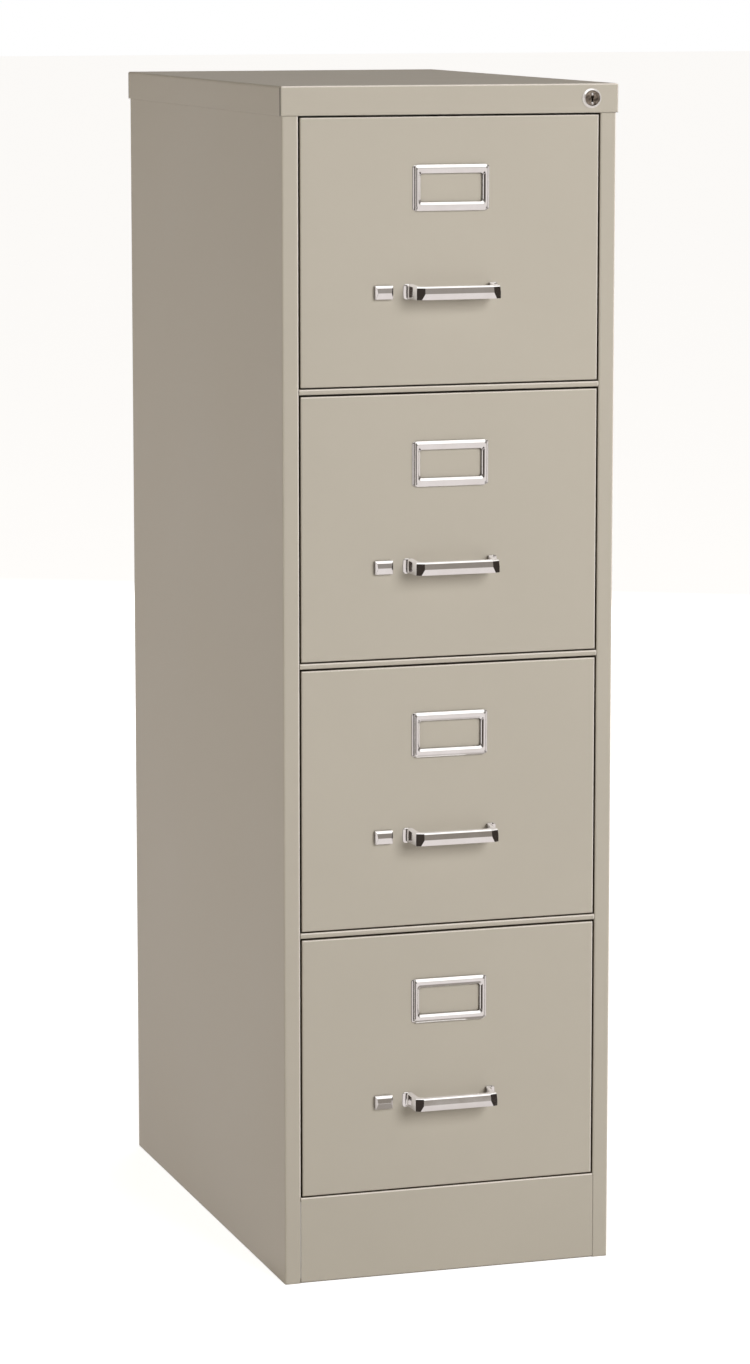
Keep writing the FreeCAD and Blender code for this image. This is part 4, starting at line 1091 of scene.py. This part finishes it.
def make_floor():
    """Pale floor that runs to the horizon and keeps the cabinet's soft shadow. Metal mirrors a painted shadow on it
    just in front of the cabinet.
    """
    work = bmesh.new()
    bmesh.ops.create_grid(work, x_segments=2, y_segments=2, size=FLOOR_HALF)
    mesh = mesh_of(work, "studio_floor")
    floor = placed("studio_floor", mesh)
    floor.location.z = FLOOR_HEIGHT
    material = bpy.data.materials.new("pale_floor")
    tree = bare_tree(material)
    place = object_place(tree)
    cloud = put(tree, "ShaderNodeTexNoise", {"Vector": place, "Scale": 2.0, "Detail": 3.0}).outputs["Fac"]
    colour = blend_colours(tree, cloud, FLOOR_DARK, FLOOR_LIGHT)
    matt = put(tree, "ShaderNodeBsdfDiffuse", {"Color": colour})
    path = put(tree, "ShaderNodeLightPath").outputs
    direct = maths(tree, "MAXIMUM", path["Is Camera Ray"], path["Is Transmission Ray"])
    glow = put(tree, "ShaderNodeEmission", {"Strength": maths(tree, "MULTIPLY", direct, FLOOR_GLOW)})
    lit = put(tree, "ShaderNodeAddShader", {0: matt.outputs[0], 1: glow.outputs[0]})
    parts = put(tree, "ShaderNodeSeparateXYZ", {0: place})
    # Painted shadow: in a strip just in front of the cabinet, metal mirrors a dark floor
    out = maths(tree, "ABSOLUTE", maths(tree, "SUBTRACT", parts.outputs["Y"], cad_low.y - STRIP_AHEAD))
    near = maths(tree, "MULTIPLY", remap(tree, out, 0.08, 0.20, 1.0, 0.0), PAINTED_SHADOW_SHARE)
    mirrored_with_painted_shadow = blend_colours(tree, near, FLOOR_IN_METAL, PAINTED_SHADOW_IN_METAL)
    in_metal = put(tree, "ShaderNodeEmission", {"Color": mirrored_with_painted_shadow, "Strength": 1.0})
    inputs = {0: path["Is Glossy Ray"], 1: lit.outputs[0], 2: in_metal.outputs[0]}
    both = put(tree, "ShaderNodeMixShader", inputs)
    put(tree, "ShaderNodeOutputMaterial", {"Surface": both.outputs[0]})
    mesh.materials.append(material)


def make_world():
    """White seen directly. For the light on the cabinet, brighter at the sides than overhead."""
    world = bpy.data.worlds.new("studio_room")
    bpy.context.scene.world = world
    tree = bare_tree(world)
    way = put(tree, "ShaderNodeTexCoord").outputs["Generated"]
    height = put(tree, "ShaderNodeSeparateXYZ", {0: way}).outputs["Z"]
    share_up = maths(tree, "ADD", maths(tree, "MULTIPLY", height, 0.5), 0.5)
    for_metal = put(tree, "ShaderNodeValToRGB", {0: share_up})
    ramp = for_metal.color_ramp
    while len(ramp.elements) < len(ROOM_IN_METAL):
        ramp.elements.new(0.5)
    for element, (place, *colour) in zip(ramp.elements, ROOM_IN_METAL):
        element.position = place
        element.color = (*colour, 1.0)
    overhead = remap(tree, height, -0.2, 0.7, 0.0, 1.0)
    for_paint = blend_colours(tree, overhead, SIDE_LIGHT, OVERHEAD_LIGHT)
    ceiling = remap(tree, height, 0.5, 0.62, 0.0, 0.45)
    metal_sees = blend_colours(tree, 1.0, for_metal.outputs["Color"], ceiling, "ADD")
    path = put(tree, "ShaderNodeLightPath").outputs
    level = blend_colours(tree, path["Is Glossy Ray"], for_paint, metal_sees)
    clear = maths(tree, "MAXIMUM", path["Is Camera Ray"], path["Is Transmission Ray"])
    shown = blend_colours(tree, clear, level, (1.0, 1.0, 1.0, 1.0))
    light = put(tree, "ShaderNodeBackground", {"Color": shown, "Strength": 1.0})
    put(tree, "ShaderNodeOutputWorld", {"Surface": light.outputs[0]})


def make_lamp(name, place, target, width, height, power, colour):
    """Soft box aimed at a point. Metal doesn't mirror it."""
    data = bpy.data.lights.new(name, "AREA")
    data.color = colour
    data.shape = "RECTANGLE"
    data.size, data.size_y = width, height
    data.energy = power
    lamp = placed(name, data)
    lamp.location = place
    lamp.rotation_euler = (Vector(target) - Vector(place)).to_track_quat("-Z", "Y").to_euler()
    lamp.visible_glossy = False
    lamp.visible_camera = False


def make_dark_card(name, centre, half_width, shade):
    """Dark card near the fronts that only metal mirrors. It stands upright and faces the pulls."""
    away = (Vector((centre[0], centre[1], 0)) - Vector((0, cad_low.y, 0))).normalized()
    along = Vector((-away.y, away.x, 0)) * half_width
    foot = Vector((centre[0], centre[1], 0))
    corners = [foot - along, foot + along]
    work = bmesh.new()
    verts = [work.verts.new((p.x, p.y, z)) for z in (0.0, CARD_HEIGHT) for p in corners]
    work.faces.new((verts[0], verts[1], verts[3], verts[2]))
    mesh = mesh_of(work, name)
    card = placed(name, mesh)
    material = bpy.data.materials.new(name + "_board")
    tree = bare_tree(material)
    board = put(tree, "ShaderNodeEmission", {"Color": CARD_COLOUR, "Strength": shade})
    put(tree, "ShaderNodeOutputMaterial", {"Surface": board.outputs[0]})
    mesh.materials.append(material)
    card.visible_camera = False
    card.visible_diffuse = False
    card.visible_shadow = False
    card.visible_transmission = False


make_camera()
make_floor()
make_world()
for lamp in LAMPS:
    make_lamp(*lamp)
for card in DARK_CARDS:
    make_dark_card(*card)
bpy.context.scene.view_settings.view_transform = "Standard"
